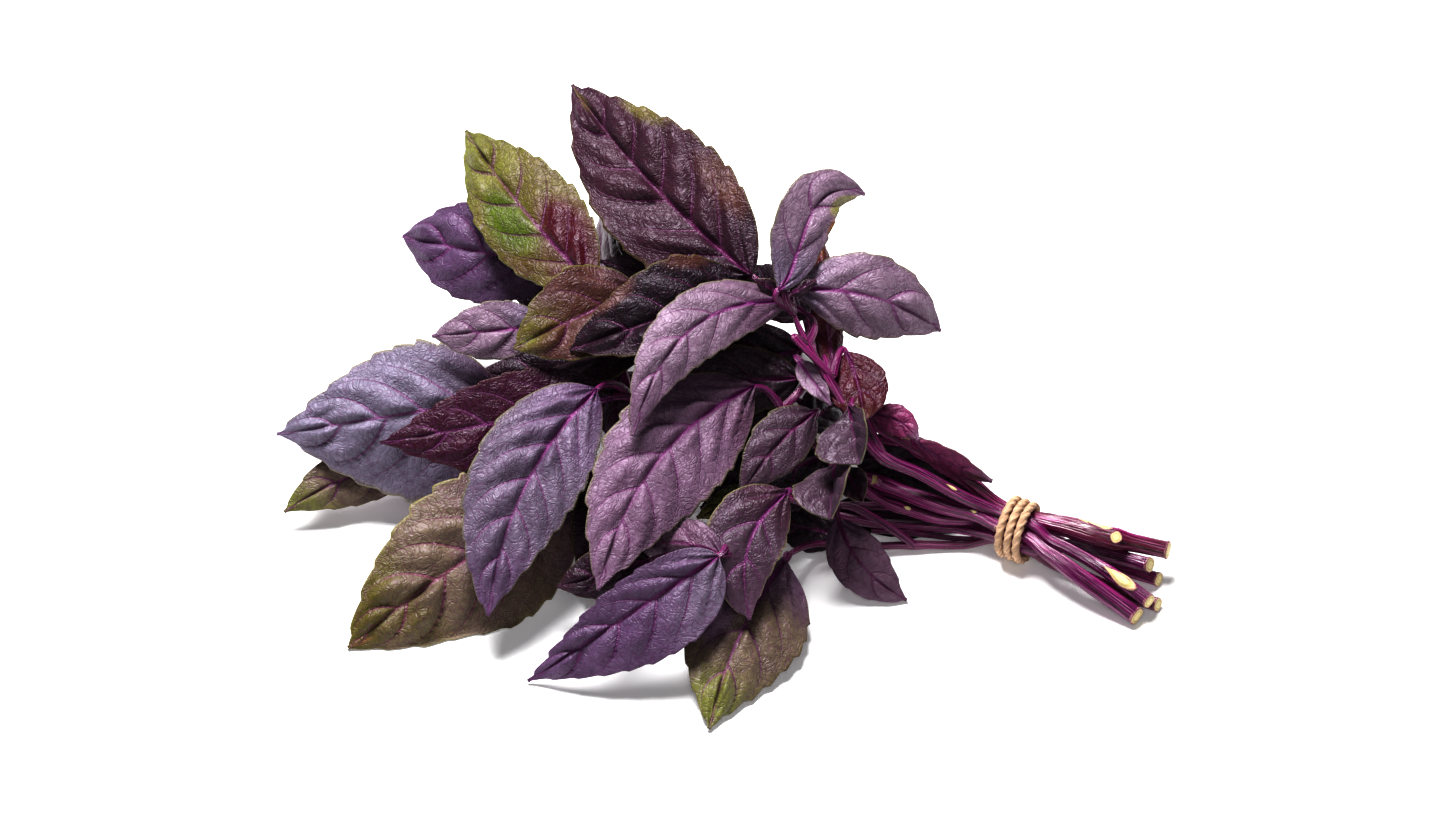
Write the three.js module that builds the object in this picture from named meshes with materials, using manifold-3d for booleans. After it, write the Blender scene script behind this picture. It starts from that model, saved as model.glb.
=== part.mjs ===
// A bunch of purple basil: six cut leafy stems, tied with three turns of twine.
// The bunch lies on its side. Units are millimetres. The origin is on the surface under the turn
// of twine nearest the leaves, +X runs to the cut ends of the stems, the leaves spread towards
// -X, and +Z is up.
import * as THREE from 'three';
import { mergeVertices } from 'three/addons/utils/BufferGeometryUtils.js';
import Module from 'manifold-3d';

const wasm = await Module();
wasm.setup();

// Driving dimensions. Teeth stand out and are cut in by a share of the blade's width.
const BLADE_THICKNESS = 0.7;
const BLADE_LEAST_HALF_WIDTH = 0.45;
const TOOTH_OUT = 0.02;
const TOOTH_IN = 0.03;
const FIRST_TOOTH = 0.12;
const LAST_TOOTH = 0.95;
const TOOTH_LEAN = 0.8;
const TOOTH_SPACING = 12;
const FEWEST_TEETH = 3;
const MOST_TEETH = 5;
const NARROW_BLADE = 13;
const BELLY = 0.42;
const OUTLINE_RISE = 1.55;
const OUTLINE_FALL = 1.6;
const LATE_BOW = 6.75;
const PETIOLE_ROOT_RADIUS = 1.15;
const PETIOLE_END_RADIUS = 0.8;
const PETIOLE_BEND = 0.45;
const PETIOLE_STEPS = 3;
const PETIOLE_SIDES = 5;
const STEM_STEPS = 22;
const STEM_SIDES = 8;
const STEM_GROOVE = 0.9;
const STEM_FILLS_FROM = 0.05;
const STEM_FULL_AT = 0.2;
const STEM_THINNING = 1.5;
const NODE_SWELLING = 0.16;
const SWELLING_REACH = 5;
const SWOLLEN_BELOW = 0.9;
const BRANCH_STEPS = 10;
const BRANCH_SIDES = 6;
const TIE_NEAR_LEAVES = -3.6;
const TIE_NEAR_CUT_ENDS = 6.2;
const TIE_CENTRE_HEIGHT = 7.75;
const TWINE_RADIUS = 1.1;
const TWINE_PITCH = 2.4;
const TWINE_COIL_RADIUS = 6.95;
const TWINE_TURNS = 3;
const TWINE_SIDES = 8;
const TWINE_STEPS_PER_TURN = 16;
const TWINE_STEPS_TO_UNDERSIDE = 15;
const MERGE_DISTANCE = 1e-5;
const WELD_STEP = 0.02;

// The bunch's face is how an eye sees it that looks down on it from FACE_REACH away, FACE_TILT
// degrees above the surface and turned FACE_TURN degrees towards the cut ends. A place in the
// face is [across, up, height]: across and up from FACE_CENTRE, and the height over the surface.
const FACE_TURN = THREE.MathUtils.degToRad(28);
const FACE_TILT = THREE.MathUtils.degToRad(45);
const FACE_REACH = 2000;
const FACE_CENTRE = new THREE.Vector3(-74.1, -15.3, 29.3);
const FACE_ACROSS = new THREE.Vector3(Math.cos(FACE_TURN), Math.sin(FACE_TURN), 0);
const FACE_OUT = new THREE.Vector3(
  Math.sin(FACE_TURN) * Math.cos(FACE_TILT),
  -Math.cos(FACE_TURN) * Math.cos(FACE_TILT),
  Math.sin(FACE_TILT),
);
const FACE_UP = FACE_OUT.clone().cross(FACE_ACROSS);
const EYE = FACE_CENTRE.clone().addScaledVector(FACE_OUT, FACE_REACH);

// The stems. bare starts at the middle of the cut face, as places in the face. tail goes on to the
// tie, as [x, y, z]. tied is the stem's place among the others, as [y, z] from the tie's centre.
// route goes on from the tie to the growing tip, as places in the face. tailRadii are spread
// evenly from the cut face to the tie, and radii are in the tie, past it and at the tip.
// Each leaf has its place along the stem (at), its blade's base and tip as places in the face
// and its full width. arch lifts the blade's middle, sweep bends it sideways, roll turns it about
// its length, fold raises its halves like an open book, lop makes one half wider, belly is where
// it is widest, point draws out its tip and hook moves the bend of its midrib towards the tip.
const STEMS = [
  {
    name: 'crown_stem', color: 0x5a2a52, tied: [-0.5, 4],
    tailRadii: [1.9, 1.95, 1.55, 1.5], radii: [1.5, 1.6, 1.3],
    bare: [[106.3, -48.4, 5.4]],
    tail: [[28, -2.8, 7.9], [22, -2.1, 8.7], [16, -1.7, 9.5], [10.5, -1.5, 10.1]],
    route: [
      [59.4, -22.3, 15.6], [49.4, -16.8, 20.5], [38.8, -11.7, 26.5],
      [28.9, 2.9, 38], [19.4, 19.1, 48], [16.6, 27.1, 53],
    ],
    branches: [
      { name: 'crown_runner', at: 0.9, radii: [1.0, 0.8],
        route: [[17.9, 17.4, 49], [21.9, 13.1, 46], [27.9, 7.1, 41]] },
    ],
    leaves: [
      { name: 'crown_back', at: 0.97, base: [7.4, 32.6, 57], tip: [-37.6, 80.4, 70],
        width: 34, sweep: -2.6, arch: 2, fold: 8, lop: 0.02, belly: 0.41, point: 1.02 },
      { name: 'crown_left', at: 0.97, base: [7.4, 29.1, 54], tip: [-38.1, 14.1, 48],
        width: 25, sweep: -1.5, arch: 4, roll: 22, fold: 18, lop: 0.12 },
      { name: 'crown_front', at: 0.97, base: [15.9, 25.9, 52], tip: [-22.4, -7.4, 45],
        width: 17.5, sweep: 10.5, arch: 5, fold: -6 },
      { name: 'crown_up', at: 0.98, base: [13.9, 29.1, 58], tip: [35.6, 53.1, 66],
        width: 15.5, sweep: -7.8, hook: 1, arch: 3, roll: 10, fold: 8, lop: -0.15, belly: 0.5 },
      { name: 'crown_right', at: 0.98, base: [18.6, 29.4, 54], tip: [54.6, 18.9, 42],
        width: 21.5, sweep: -3.3, arch: 5, fold: -8, belly: 0.45 },
      { name: 'crown_behind', at: 0.8, base: [27.4, 8.6, 38], tip: [23.4, 46.1, 50],
        width: 10, roll: 30 },
      { name: 'crown_red', on: 'crown_runner', at: 0.97, base: [30.9, 13.6, 42], tip: [35.4, -3.6, 36],
        width: 15, sweep: -0.8, belly: 0.5 },
      { name: 'crown_bud', at: 0.75, base: [19.1, 11.1, 40], tip: [27.1, 0.4, 38],
        width: 7, fold: 30 },
      { name: 'crown_low', at: 0.62, base: [32.4, 0.1, 38], tip: [34.4, -14.4, 36],
        width: 22, fold: 38, roll: 38, belly: 0.7 },
      { name: 'crown_under', at: 0.82, base: [19.9, 14.1, 38], tip: [-5.6, 8.6, 30],
        width: 18, arch: 2, plain: true },
      { name: 'crown_tip_left', at: 0.97, base: [13.9, 28.6, 56], tip: [8.4, 31.6, 60],
        width: 4, plain: true },
      { name: 'crown_tip_up', at: 0.97, base: [15.4, 29.1, 57], tip: [15.9, 37.1, 61],
        width: 5, plain: true },
      { name: 'crown_tip_right', at: 0.97, base: [16.9, 28.1, 56], tip: [23.4, 31.6, 58],
        width: 4, plain: true },
      { name: 'crown_shade', at: 0.9, base: [21.4, 22.9, 46], tip: [3.4, 35.1, 45],
        width: 13, plain: true },
      { name: 'crown_back_low', at: 0.88, base: [19.1, 25.2, 42], tip: [15.2, 30, 14],
        width: 24, arch: 5, plain: true },
    ],
  },
  {
    name: 'upper_stem', color: 0x6b5a3a, tied: [2.7, 3],
    tailRadii: [2.35, 2.45, 3, 2.55], radii: [1.5, 1.95, 1.2],
    bare: [[110.8, -35.8, 8.6]],
    tail: [[22.6, 4.9, 11.1], [13.3, 3.6, 11.2]],
    route: [
      [62.1, -19.3, 14.5], [50.1, -10.9, 20], [39.4, -3.4, 26],
      [19.4, 8.6, 32], [-5.6, 22.1, 40], [-23.6, 32.4, 46],
    ],
    stubs: [{ at: 0.08, radius: 1.5, lean: [0.7, -2.4, 3.3] }],
    leaves: [
      { name: 'upper_olive', at: 0.97, base: [-32.6, 30.6, 52], tip: [-64.1, 68.9, 58],
        width: 26, arch: 2, sweep: -1.4, lop: 0.02 },
      { name: 'upper_far', at: 0.9, base: [-40.1, 35.4, 42], tip: [-79.9, 42.6, 35],
        width: 26, arch: 3, belly: 0.46, sweep: -0.5 },
      { name: 'upper_brown', at: 0.97, base: [-20.6, 28.6, 51], tip: [-52.1, 14.4, 46],
        width: 25, roll: 15, fold: 10, arch: 2 },
      { name: 'upper_lilac', at: 0.9, base: [-44.4, 20.1, 45], tip: [-72.6, 17.6, 43],
        width: 15, arch: 2 },
      { name: 'upper_stemleaf', at: 0.44, base: [48.8, -8.6, 27], tip: [67.4, -18.9, 17],
        width: 8, roll: 45, sweep: 1 },
      { name: 'upper_curl', at: 0.4, base: [37.9, -1.9, 30], tip: [48.9, -8.4, 28],
        width: 8, sweep: -1.5 },
      { name: 'upper_shade', at: 0.45, base: [37.4, -9.4, 18], tip: [66, -25, 9],
        width: 10, plain: true },
      { name: 'upper_dusk', at: 0.33, base: [47.9, -11.4, 16], tip: [31.4, -12.9, 18],
        width: 11, plain: true },
      { name: 'upper_gloom', at: 0.75, base: [1.4, 28.4, 45], tip: [-30.6, 36.4, 48],
        width: 13, plain: true },
      { name: 'upper_under', at: 0.82, base: [-16.9, 20.1, 34], tip: [-51.9, 27.1, 32],
        width: 18, arch: 2, plain: true },
      { name: 'upper_back_left', at: 0.93, base: [-22.3, 34.4, 40], tip: [-31, 34.7, 0.5],
        width: 30, arch: 5, plain: true },
      { name: 'upper_back_right', at: 0.8, base: [-9.6, 27.6, 36], tip: [-3.5, 33.6, 0.5],
        width: 30, arch: 5, plain: true },
    ],
  },
  {
    name: 'middle_stem', color: 0x6e4a6e, tied: [-3.3, 2.2],
    tailRadii: [2.4, 2.45, 2.3, 1.7], radii: [1.5, 2.15, 1.2],
    bare: [[103.1, -52.1, 2.6]],
    tail: [[22.1, -7, 7.2], [15, -5.8, 8.9], [11.5, -5.2, 9.5]],
    route: [
      [63.8, -27.4, 10.8], [54.1, -24.6, 11.5], [42.1, -20.4, 13], [31.9, -16.9, 16],
      [9.4, -10.4, 21], [-10.6, -1.4, 28], [-27.1, 3.4, 33],
    ],
    branches: [
      { name: 'far', at: 0.6, radii: [1.5, 1.1],
        route: [[-0.6, -18.4, 14], [-20.6, -18.9, 12], [-36.9, -15.9, 15], [-48.1, -8.4, 21]] },
    ],
    stubs: [{ at: 0.5, radius: 1.3, lean: [-2.4, -1.7, 2.6] }],
    leaves: [
      { name: 'middle_maroon', at: 0.95, base: [-27.6, 2.1, 35], tip: [-85.6, -9.1, 29],
        width: 25.5, arch: 2, sweep: -0.5, lop: -0.08, point: 1.15 },
      { name: 'middle_blue', at: 0.97, base: [-31.6, 4.1, 41], tip: [-58.6, -52.4, 14],
        width: 28, sweep: 5.5, arch: 3, fold: 5, lop: 0.06 },
      { name: 'middle_sliver', at: 0.9, base: [-20.6, 14.1, 35], tip: [-47.9, 4.6, 34],
        width: 17, roll: 62, plain: true },
      { name: 'middle_dark', at: 0.97, base: [-26.1, 9.6, 31], tip: [-27.1, -8.4, 26],
        width: 15, plain: true },
      { name: 'far_grey', on: 'far', at: 0.97, base: [-54.4, 2.1, 28], tip: [-111.4, -6.9, 20],
        width: 41, arch: 4, fold: -13, lop: -0.12, point: 1.2 },
      { name: 'far_olive', on: 'far', at: 0.75, base: [-36.1, -21.9, 15], tip: [-93.6, -60.4, 1],
        width: 40, sweep: 2, arch: 4, fold: -4, lop: -0.04 },
      { name: 'far_low', on: 'far', at: 0.97, base: [-75.6, -13.9, 9], tip: [-109.6, -26.4, 6],
        width: 15.5, arch: 2, sweep: 2.6 },
      { name: 'middle_deep', at: 0.93, base: [-23.6, 8.1, 28], tip: [-61.6, 8.1, 25],
        width: 15, arch: 2, plain: true },
      { name: 'middle_shade', at: 0.52, base: [36.4, -16.9, 11], tip: [64.4, -25.9, 7],
        width: 9, plain: true },
      { name: 'middle_under', at: 0.62, base: [-19.4, -14.9, 17], tip: [-34.4, -46.9, 4.5],
        width: 24, arch: 3, plain: true },
    ],
  },
  {
    name: 'front_stem', color: 0x8a5f7d, tied: [2.2, -1.45],
    tailRadii: [1.85, 1.9, 1.9, 1.9], radii: [2.3, 1.4, 1.2],
    bare: [[108.6, -43.1, 1.95], [94.4, -38.6, 1.95]],
    tail: [[12, 4.2, 3.5]],
    route: [
      [54.1, -28.1, 8], [46.9, -26.1, 9], [39.8, -23.6, 12],
      [30.6, -17.1, 19], [20.6, -5.9, 27], [12.4, 1.6, 34],
    ],
    leaves: [
      { name: 'front_big', at: 0.97, base: [7.4, 4.6, 38], tip: [-31.1, -45.9, 22],
        width: 30, sweep: 7.6, arch: 4, lop: -0.04 },
      { name: 'front_side', at: 0.9, base: [23.1, -1.4, 33], tip: [4.6, -22.1, 26],
        width: 14.5, arch: 2, sweep: 1.5 },
      { name: 'front_inner', at: 0.97, base: [19.4, 7.1, 36], tip: [-20.6, 5.4, 33],
        width: 18, arch: 2, plain: true },
      { name: 'front_point', at: 0.76, base: [28.9, -14.9, 25.4], tip: [26.9, -28.1, 27],
        width: 21, fold: 38, roll: 38, belly: 0.6 },
      { name: 'front_shade', at: 0.83, base: [20.9, -4.4, 28], tip: [29.9, 2.4, 21],
        width: 13, arch: 1, plain: true },
      { name: 'front_dusk', at: 0.9, base: [17.4, 1.4, 29], tip: [1.4, -8.6, 25],
        width: 10, plain: true },
      { name: 'front_floor', at: 0.62, base: [27.4, -25.4, 3], tip: [62.6, -30.3, 1],
        width: 13, lop: 0.2, plain: true },
      { name: 'front_under', at: 0.8, base: [26.4, -11.9, 21], tip: [-5.6, -25.4, 15],
        width: 20, arch: 2, plain: true },
      { name: 'front_curl', at: 0.7, base: [30.9, -15.9, 24], tip: [34.9, -23.9, 22],
        width: 9, fold: 25 },
    ],
  },
  {
    name: 'low_stem', color: 0x64446e, tied: [-3.85, -1.05],
    tailRadii: [1.95, 1.95, 1.9, 1.6], radii: [1.5, 1.35, 1.2],
    bare: [[106.4, -39.5, 7.4]],
    tail: [[22, 3.9, 6.1], [15.5, 2, 6.9], [9.5, -1.9, 6.4]],
    route: [
      [59.4, -30.5, 4.6], [50.1, -30, 4.1], [34.4, -28.6, 8], [24.4, -26.1, 15],
      [15.6, -22.9, 23], [6.9, -26.4, 24], [-1.6, -36.6, 25],
    ],
    leaves: [
      { name: 'low_front', at: 0.83, base: [16.1, -21.6, 30], tip: [6.9, -53.4, 14],
        width: 20, sweep: 5.5, arch: 3, lop: 0.14 },
      { name: 'low_violet', at: 0.97, base: [-1.1, -37.4, 27], tip: [-48.6, -68.6, 1],
        width: 23, arch: 4, belly: 0.34, lop: -0.26, fold: 10 },
      { name: 'low_lobe', at: 0.95, base: [-0.1, -36.9, 26], tip: [-20.6, -36.9, 16],
        width: 13, sweep: 3, arch: 3, fold: -25, plain: true },
      { name: 'low_scrap', at: 0.9, base: [-18.1, -38.4, 20], tip: [-41.4, -45.1, 13],
        width: 14, plain: true },
      { name: 'low_green', at: 0.82, base: [8.4, -20.4, 23], tip: [-6.4, -27.9, 20],
        width: 7, plain: true },
      { name: 'low_under', at: 0.8, base: [7.4, -30.9, 14], tip: [-8.1, -48.4, 4],
        width: 18, arch: 2, plain: true },
    ],
  },
  {
    name: 'near_stem', color: 0x7b6a4e, tied: [-1.75, -3.6],
    tailRadii: [1.85, 1.85, 1.7, 1.5], radii: [1.5, 1.05, 1.1],
    bare: [[108.4, -49.4, 1.95], [100.6, -47, 1.95], [91.6, -43.1, 2.1]],
    tail: [[12, -1.7, 2.5]],
    route: [[60.6, -34.5, 1.6], [50.1, -34.6, 2], [34.4, -34.9, 3], [23.1, -34.4, 5], [14.9, -37.9, 14]],
    branches: [{ name: 'near_fork', at: 0.4, radii: [0.75, 0.7],
      route: [[60.1, -33.1, 2.2], [51.3, -32.2, 2.8], [44.4, -31.4, 3.6], [37.2, -31, 4.4]] }],
    leaves: [
      { name: 'near_olive', at: 0.97, base: [15.4, -39.1, 13], tip: [-3.4, -80.6, 1],
        width: 31, sweep: 2.6, arch: 1.5, fold: -8, belly: 0.36 },
      { name: 'near_right', at: 0.6, base: [28.9, -28.4, 15], tip: [46.1, -48.4, 1],
        width: 14, arch: 2, sweep: 2.8 },
      { name: 'near_under', at: 0.72, base: [29.9, -31.9, 5], tip: [11.9, -28.9, 4],
        width: 12, arch: 2, plain: true },
    ],
  },
];

// A place in the face, as a point of the bunch.
function facePoint([across, up, height]) {
  const point = FACE_CENTRE.clone().addScaledVector(FACE_ACROSS, across).addScaledVector(FACE_UP, up);
  const sight = EYE.clone().sub(point);
  return point.addScaledVector(sight, (height - point.z) / sight.z);
}

// A closed geometry from rings of points that all have the same length, with flat end caps.
function loft(rings) {
  const sides = rings[0].length;
  const positions = rings.flat().flatMap((point) => point.toArray());
  const index = [];
  for (let ring = 0; ring + 1 < rings.length; ring += 1) {
    for (let side = 0; side < sides; side += 1) {
      const next = (side + 1) % sides;
      const a = ring * sides + side;
      const b = ring * sides + next;
      index.push(a, b, b + sides, a, b + sides, a + sides);
    }
  }
  const last = (rings.length - 1) * sides;
  for (let side = 1; side + 1 < sides; side += 1) {
    index.push(0, side + 1, side, last, last + side, last + side + 1);
  }
  const geometry = new THREE.BufferGeometry();
  geometry.setAttribute('position', new THREE.Float32BufferAttribute(positions, 3));
  geometry.setIndex(index);
  return geometry;
}

// A tube along a curve. radiusAt gives its radius at 0 to 1 along it, and groove the radius at
// every second edge as a share of the radius at the others.
function tube(curve, steps, sides, radiusAt, groove = 1) {
  const frames = curve.computeFrenetFrames(steps);
  const rings = [];
  for (let step = 0; step <= steps; step += 1) {
    const along = step / steps;
    const centre = curve.getPointAt(along);
    const ring = [];
    for (let side = 0; side < sides; side += 1) {
      const angle = (side * 2 * Math.PI) / sides;
      const reach = radiusAt(along) * (side % 2 === 0 ? 1 : groove);
      ring.push(centre.clone()
        .addScaledVector(frames.normals[step], reach * Math.cos(angle))
        .addScaledVector(frames.binormals[step], reach * Math.sin(angle)));
    }
    rings.push(ring);
  }
  return loft(rings);
}

// Half of the blade's width at 0 to 1 along it, as a share of its greatest half width.
function outline(along, belly, point) {
  const rise = (along / belly) ** (OUTLINE_RISE * belly);
  return rise * ((1 - along) / (1 - belly)) ** (OUTLINE_FALL * (1 - belly) * point);
}

// The midrib's point at 0 to 1 along the blade, with the directions to the tip, to the side
// and out of the blade's upper face.
function midrib(leaf, along) {
  const base = facePoint(leaf.base);
  const chord = facePoint(leaf.tip).sub(base);
  const ahead = chord.clone().normalize();
  const towardsEye = FACE_OUT.clone().addScaledVector(ahead, -FACE_OUT.dot(ahead)).normalize();
  const roll = THREE.MathUtils.degToRad(leaf.roll ?? 0);
  const out = towardsEye.clone().applyAxisAngle(ahead, roll);
  const side = ahead.clone().cross(out);
  const hook = leaf.hook ?? 0;
  const late = LATE_BOW * along * along * (1 - along);
  const lateSlope = LATE_BOW * along * (2 - 3 * along);
  const bow = THREE.MathUtils.lerp(4 * along * (1 - along), late, hook);
  const slope = THREE.MathUtils.lerp(4 - 8 * along, lateSlope, hook);
  const arch = leaf.arch ?? 0;
  const sweep = leaf.sweep ?? 0;
  const point = base.addScaledVector(chord, along)
    .addScaledVector(out, arch * bow).addScaledVector(side, sweep * bow);
  const tangent = chord.clone().addScaledVector(out, arch * slope)
    .addScaledVector(side, sweep * slope).normalize();
  const normal = out.addScaledVector(tangent, -out.dot(tangent)).normalize();
  return { point, tangent, normal, side: tangent.clone().cross(normal) };
}

// How far along the blade each row of points is: a notch and a tooth's tip in turn.
function bladeRows(teeth) {
  const rows = [0, FIRST_TOOTH / 2];
  const pitch = (LAST_TOOTH - FIRST_TOOTH) / teeth;
  for (let tooth = 0; tooth < teeth; tooth += 1) {
    rows.push(FIRST_TOOTH + pitch * tooth, FIRST_TOOTH + pitch * (tooth + TOOTH_LEAN));
  }
  rows.push(1);
  return rows;
}

// A leaf blade with a toothed margin: a thin closed shell, split alike on both faces.
function blade(leaf) {
  const length = facePoint(leaf.base).distanceTo(facePoint(leaf.tip));
  const teeth = THREE.MathUtils.clamp(Math.round(length / TOOTH_SPACING), FEWEST_TEETH, MOST_TEETH);
  const columns = leaf.width > NARROW_BLADE && !leaf.plain ? [-1, -0.5, 0, 0.5, 1] : [-1, 0, 1];
  const rows = bladeRows(teeth);
  const fold = THREE.MathUtils.degToRad(leaf.fold ?? 0);
  const upper = [];
  const lower = [];
  rows.forEach((along, row) => {
    const { point, normal, side } = midrib(leaf, along);
    const half = (leaf.width / 2) * outline(along, leaf.belly ?? BELLY, leaf.point ?? 1);
    const toothed = row > 1 && row < rows.length - 1;
    const tooth = toothed ? leaf.width * (row % 2 === 0 ? -TOOTH_IN : TOOTH_OUT) : 0;
    for (const column of columns) {
      const share = Math.abs(column);
      const lop = 1 + (leaf.lop ?? 0) * Math.sign(column);
      const edge = half * lop * share + (share === 1 ? tooth : 0);
      const reach = Math.max(edge, share * BLADE_LEAST_HALF_WIDTH);
      const middle = point.clone()
        .addScaledVector(side, Math.sign(column) * reach * Math.cos(fold))
        .addScaledVector(normal, reach * Math.sin(fold));
      middle.z = Math.max(middle.z, BLADE_THICKNESS / 2);
      const top = middle.clone().addScaledVector(normal, BLADE_THICKNESS / 2);
      const bottom = middle.clone().addScaledVector(normal, -BLADE_THICKNESS / 2);
      const above = normal.z >= 0 ? top : bottom;
      const below = normal.z >= 0 ? bottom : top;
      below.z = Math.max(below.z, 0);
      above.z = Math.max(above.z, BLADE_THICKNESS);
      upper.push(top);
      lower.push(bottom);
    }
  });
  return shell(upper, lower, rows.length, columns.length);
}

// A closed shell between two grids of points, rows by columns.
function shell(upper, lower, rows, columns) {
  const index = [];
  const count = rows * columns;
  const quad = (a, b, c, d) => index.push(a, b, c, a, c, d);
  for (let row = 0; row + 1 < rows; row += 1) {
    for (let column = 0; column + 1 < columns; column += 1) {
      const a = row * columns + column;
      const b = a + 1;
      const c = a + columns + 1;
      const d = a + columns;
      index.push(a, b, d, b, c, d);
      index.push(count + a, count + d, count + b, count + b, count + d, count + c);
    }
    const left = row * columns;
    const right = left + columns - 1;
    quad(left, left + columns, count + left + columns, count + left);
    quad(right, count + right, count + right + columns, right + columns);
  }
  for (let column = 0; column + 1 < columns; column += 1) {
    const far = (rows - 1) * columns + column;
    quad(column, count + column, count + column + 1, column + 1);
    quad(far, far + 1, count + far + 1, count + far);
  }
  const geometry = new THREE.BufferGeometry();
  const positions = [...upper, ...lower].flatMap((point) => point.toArray());
  geometry.setAttribute('position', new THREE.Float32BufferAttribute(positions, 3));
  geometry.setIndex(index);
  return geometry;
}

// The leaf's stalk, from inside the stem to inside the blade's base.
function petiole(leaf, stemCurve) {
  const root = stemCurve.getPointAt(leaf.at);
  const start = midrib(leaf, 0);
  const end = midrib(leaf, FIRST_TOOTH / 2).point;
  const bend = root.distanceTo(start.point) * PETIOLE_BEND;
  const elbow = start.point.addScaledVector(start.tangent, -bend);
  elbow.z = Math.max(elbow.z, PETIOLE_ROOT_RADIUS);
  end.z = Math.max(end.z, PETIOLE_ROOT_RADIUS);
  const curve = new THREE.QuadraticBezierCurve3(root, elbow, end);
  const thickness = (along) => THREE.MathUtils.lerp(PETIOLE_ROOT_RADIUS, PETIOLE_END_RADIUS, along);
  return tube(curve, PETIOLE_STEPS, PETIOLE_SIDES, thickness);
}

// The line of a stem, from its cut face through the tie to its growing tip.
function stemLine(stem) {
  const [y, rise] = stem.tied;
  const points = [
    ...stem.bare.map(facePoint),
    ...stem.tail.map((place) => new THREE.Vector3(...place)),
    new THREE.Vector3(TIE_NEAR_CUT_ENDS, y, TIE_CENTRE_HEIGHT + rise),
    new THREE.Vector3(TIE_NEAR_LEAVES, y, TIE_CENTRE_HEIGHT + rise),
    ...stem.route.map(facePoint),
  ];
  return new THREE.CatmullRomCurve3(points, false, 'centripetal');
}

// A stem's radius along it: thick at the cut face, held in by the tie, thin at the tip, and
// swollen where leaves grow.
function stemRadius(stem, curve) {
  const [tied, full, tip] = stem.radii;
  const bare = [...stem.tailRadii, tied];
  const growths = [...stem.leaves, ...(stem.stubs ?? [])];
  const knots = growths.map((growth) => growth.at).filter((at) => at < SWOLLEN_BELOW);
  const whole = curve.getLength();
  const tieAt = curve.getPointAt(0).distanceTo(new THREE.Vector3(0, 0, TIE_CENTRE_HEIGHT)) / whole;
  return (along) => {
    const behind = THREE.MathUtils.clamp(along / tieAt, 0, 1) * (bare.length - 1);
    const stretch = Math.min(Math.floor(behind), bare.length - 2);
    const swell = THREE.MathUtils.smoothstep(behind - stretch, 0, 1);
    const afterTie = THREE.MathUtils.clamp((along - tieAt) / (1 - tieAt), 0, 1);
    const filling = THREE.MathUtils.smoothstep(afterTie, STEM_FILLS_FROM, STEM_FULL_AT);
    const filled = THREE.MathUtils.lerp(tied, full, filling);
    const plain = along < tieAt
      ? THREE.MathUtils.lerp(bare[stretch], bare[stretch + 1], swell)
      : THREE.MathUtils.lerp(filled, tip, afterTie ** STEM_THINNING);
    const nearness = knots.map((at) => 1 - Math.abs(along - at) * whole / SWELLING_REACH);
    const near = Math.max(0, ...nearness);
    return plain * (1 + NODE_SWELLING * near);
  };
}

// A side branch, from its root on a stem to its own growing tip.
function branchLine(branch, curve) {
  const points = [curve.getPointAt(branch.at), ...branch.route.map(facePoint)];
  return new THREE.CatmullRomCurve3(points, false, 'centripetal');
}

// A cut side shoot: a short stub on a stem, leaning out and forward.
function stub(shoot, curve) {
  const root = curve.getPointAt(shoot.at);
  const tip = root.clone().add(new THREE.Vector3(...shoot.lean));
  return tube(new THREE.LineCurve3(root, tip), 1, BRANCH_SIDES, () => shoot.radius);
}

// The twine: close turns round the stems, with both ends underneath at the back. Its underside
// is pressed flat on the surface.
function twine() {
  const steps = TWINE_TURNS * TWINE_STEPS_PER_TURN;
  const rings = [];
  for (let step = 0; step <= steps; step += 1) {
    const turn = (step - TWINE_STEPS_TO_UNDERSIDE) / TWINE_STEPS_PER_TURN;
    const angle = 2 * Math.PI * turn - Math.PI / 2 + Math.PI / TWINE_STEPS_PER_TURN;
    const outward = new THREE.Vector3(0, Math.cos(angle), Math.sin(angle));
    const centre = outward.clone().multiplyScalar(TWINE_COIL_RADIUS);
    centre.add(new THREE.Vector3(turn * TWINE_PITCH, 0, TIE_CENTRE_HEIGHT));
    const alongX = new THREE.Vector3(1, 0, 0);
    const ring = [];
    for (let side = 0; side < TWINE_SIDES; side += 1) {
      const around = ((side + 0.5) * 2 * Math.PI) / TWINE_SIDES;
      const point = centre.clone()
        .addScaledVector(outward, TWINE_RADIUS * Math.cos(around))
        .addScaledVector(alongX, -TWINE_RADIUS * Math.sin(around));
      point.z = Math.max(point.z, 0);
      ring.push(point);
    }
    rings.push(ring);
  }
  return loft(rings);
}

// A manifold-3d solid from a closed geometry, and a geometry from a solid.
function toSolid(geometry) {
  const merged = mergeVertices(geometry, MERGE_DISTANCE);
  return new wasm.Manifold(new wasm.Mesh({
    numProp: 3,
    vertProperties: new Float32Array(merged.attributes.position.array),
    triVerts: new Uint32Array(merged.index.array),
  }));
}

// The one body of a fused solid: a hollow sealed between crossing leaves is filled by leaving
// out its own surface, which is a part with a negative volume.
function outerBody(solid) {
  const bodies = solid.simplify(WELD_STEP).decompose();
  return bodies.reduce((largest, part) => (part.volume() > largest.volume() ? part : largest));
}

function toGeometry(solid) {
  const mesh = solid.getMesh();
  const geometry = new THREE.BufferGeometry();
  geometry.setAttribute('position', new THREE.BufferAttribute(mesh.vertProperties, 3));
  geometry.setIndex(new THREE.BufferAttribute(mesh.triVerts, 1));
  geometry.computeVertexNormals();
  return geometry;
}

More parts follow.
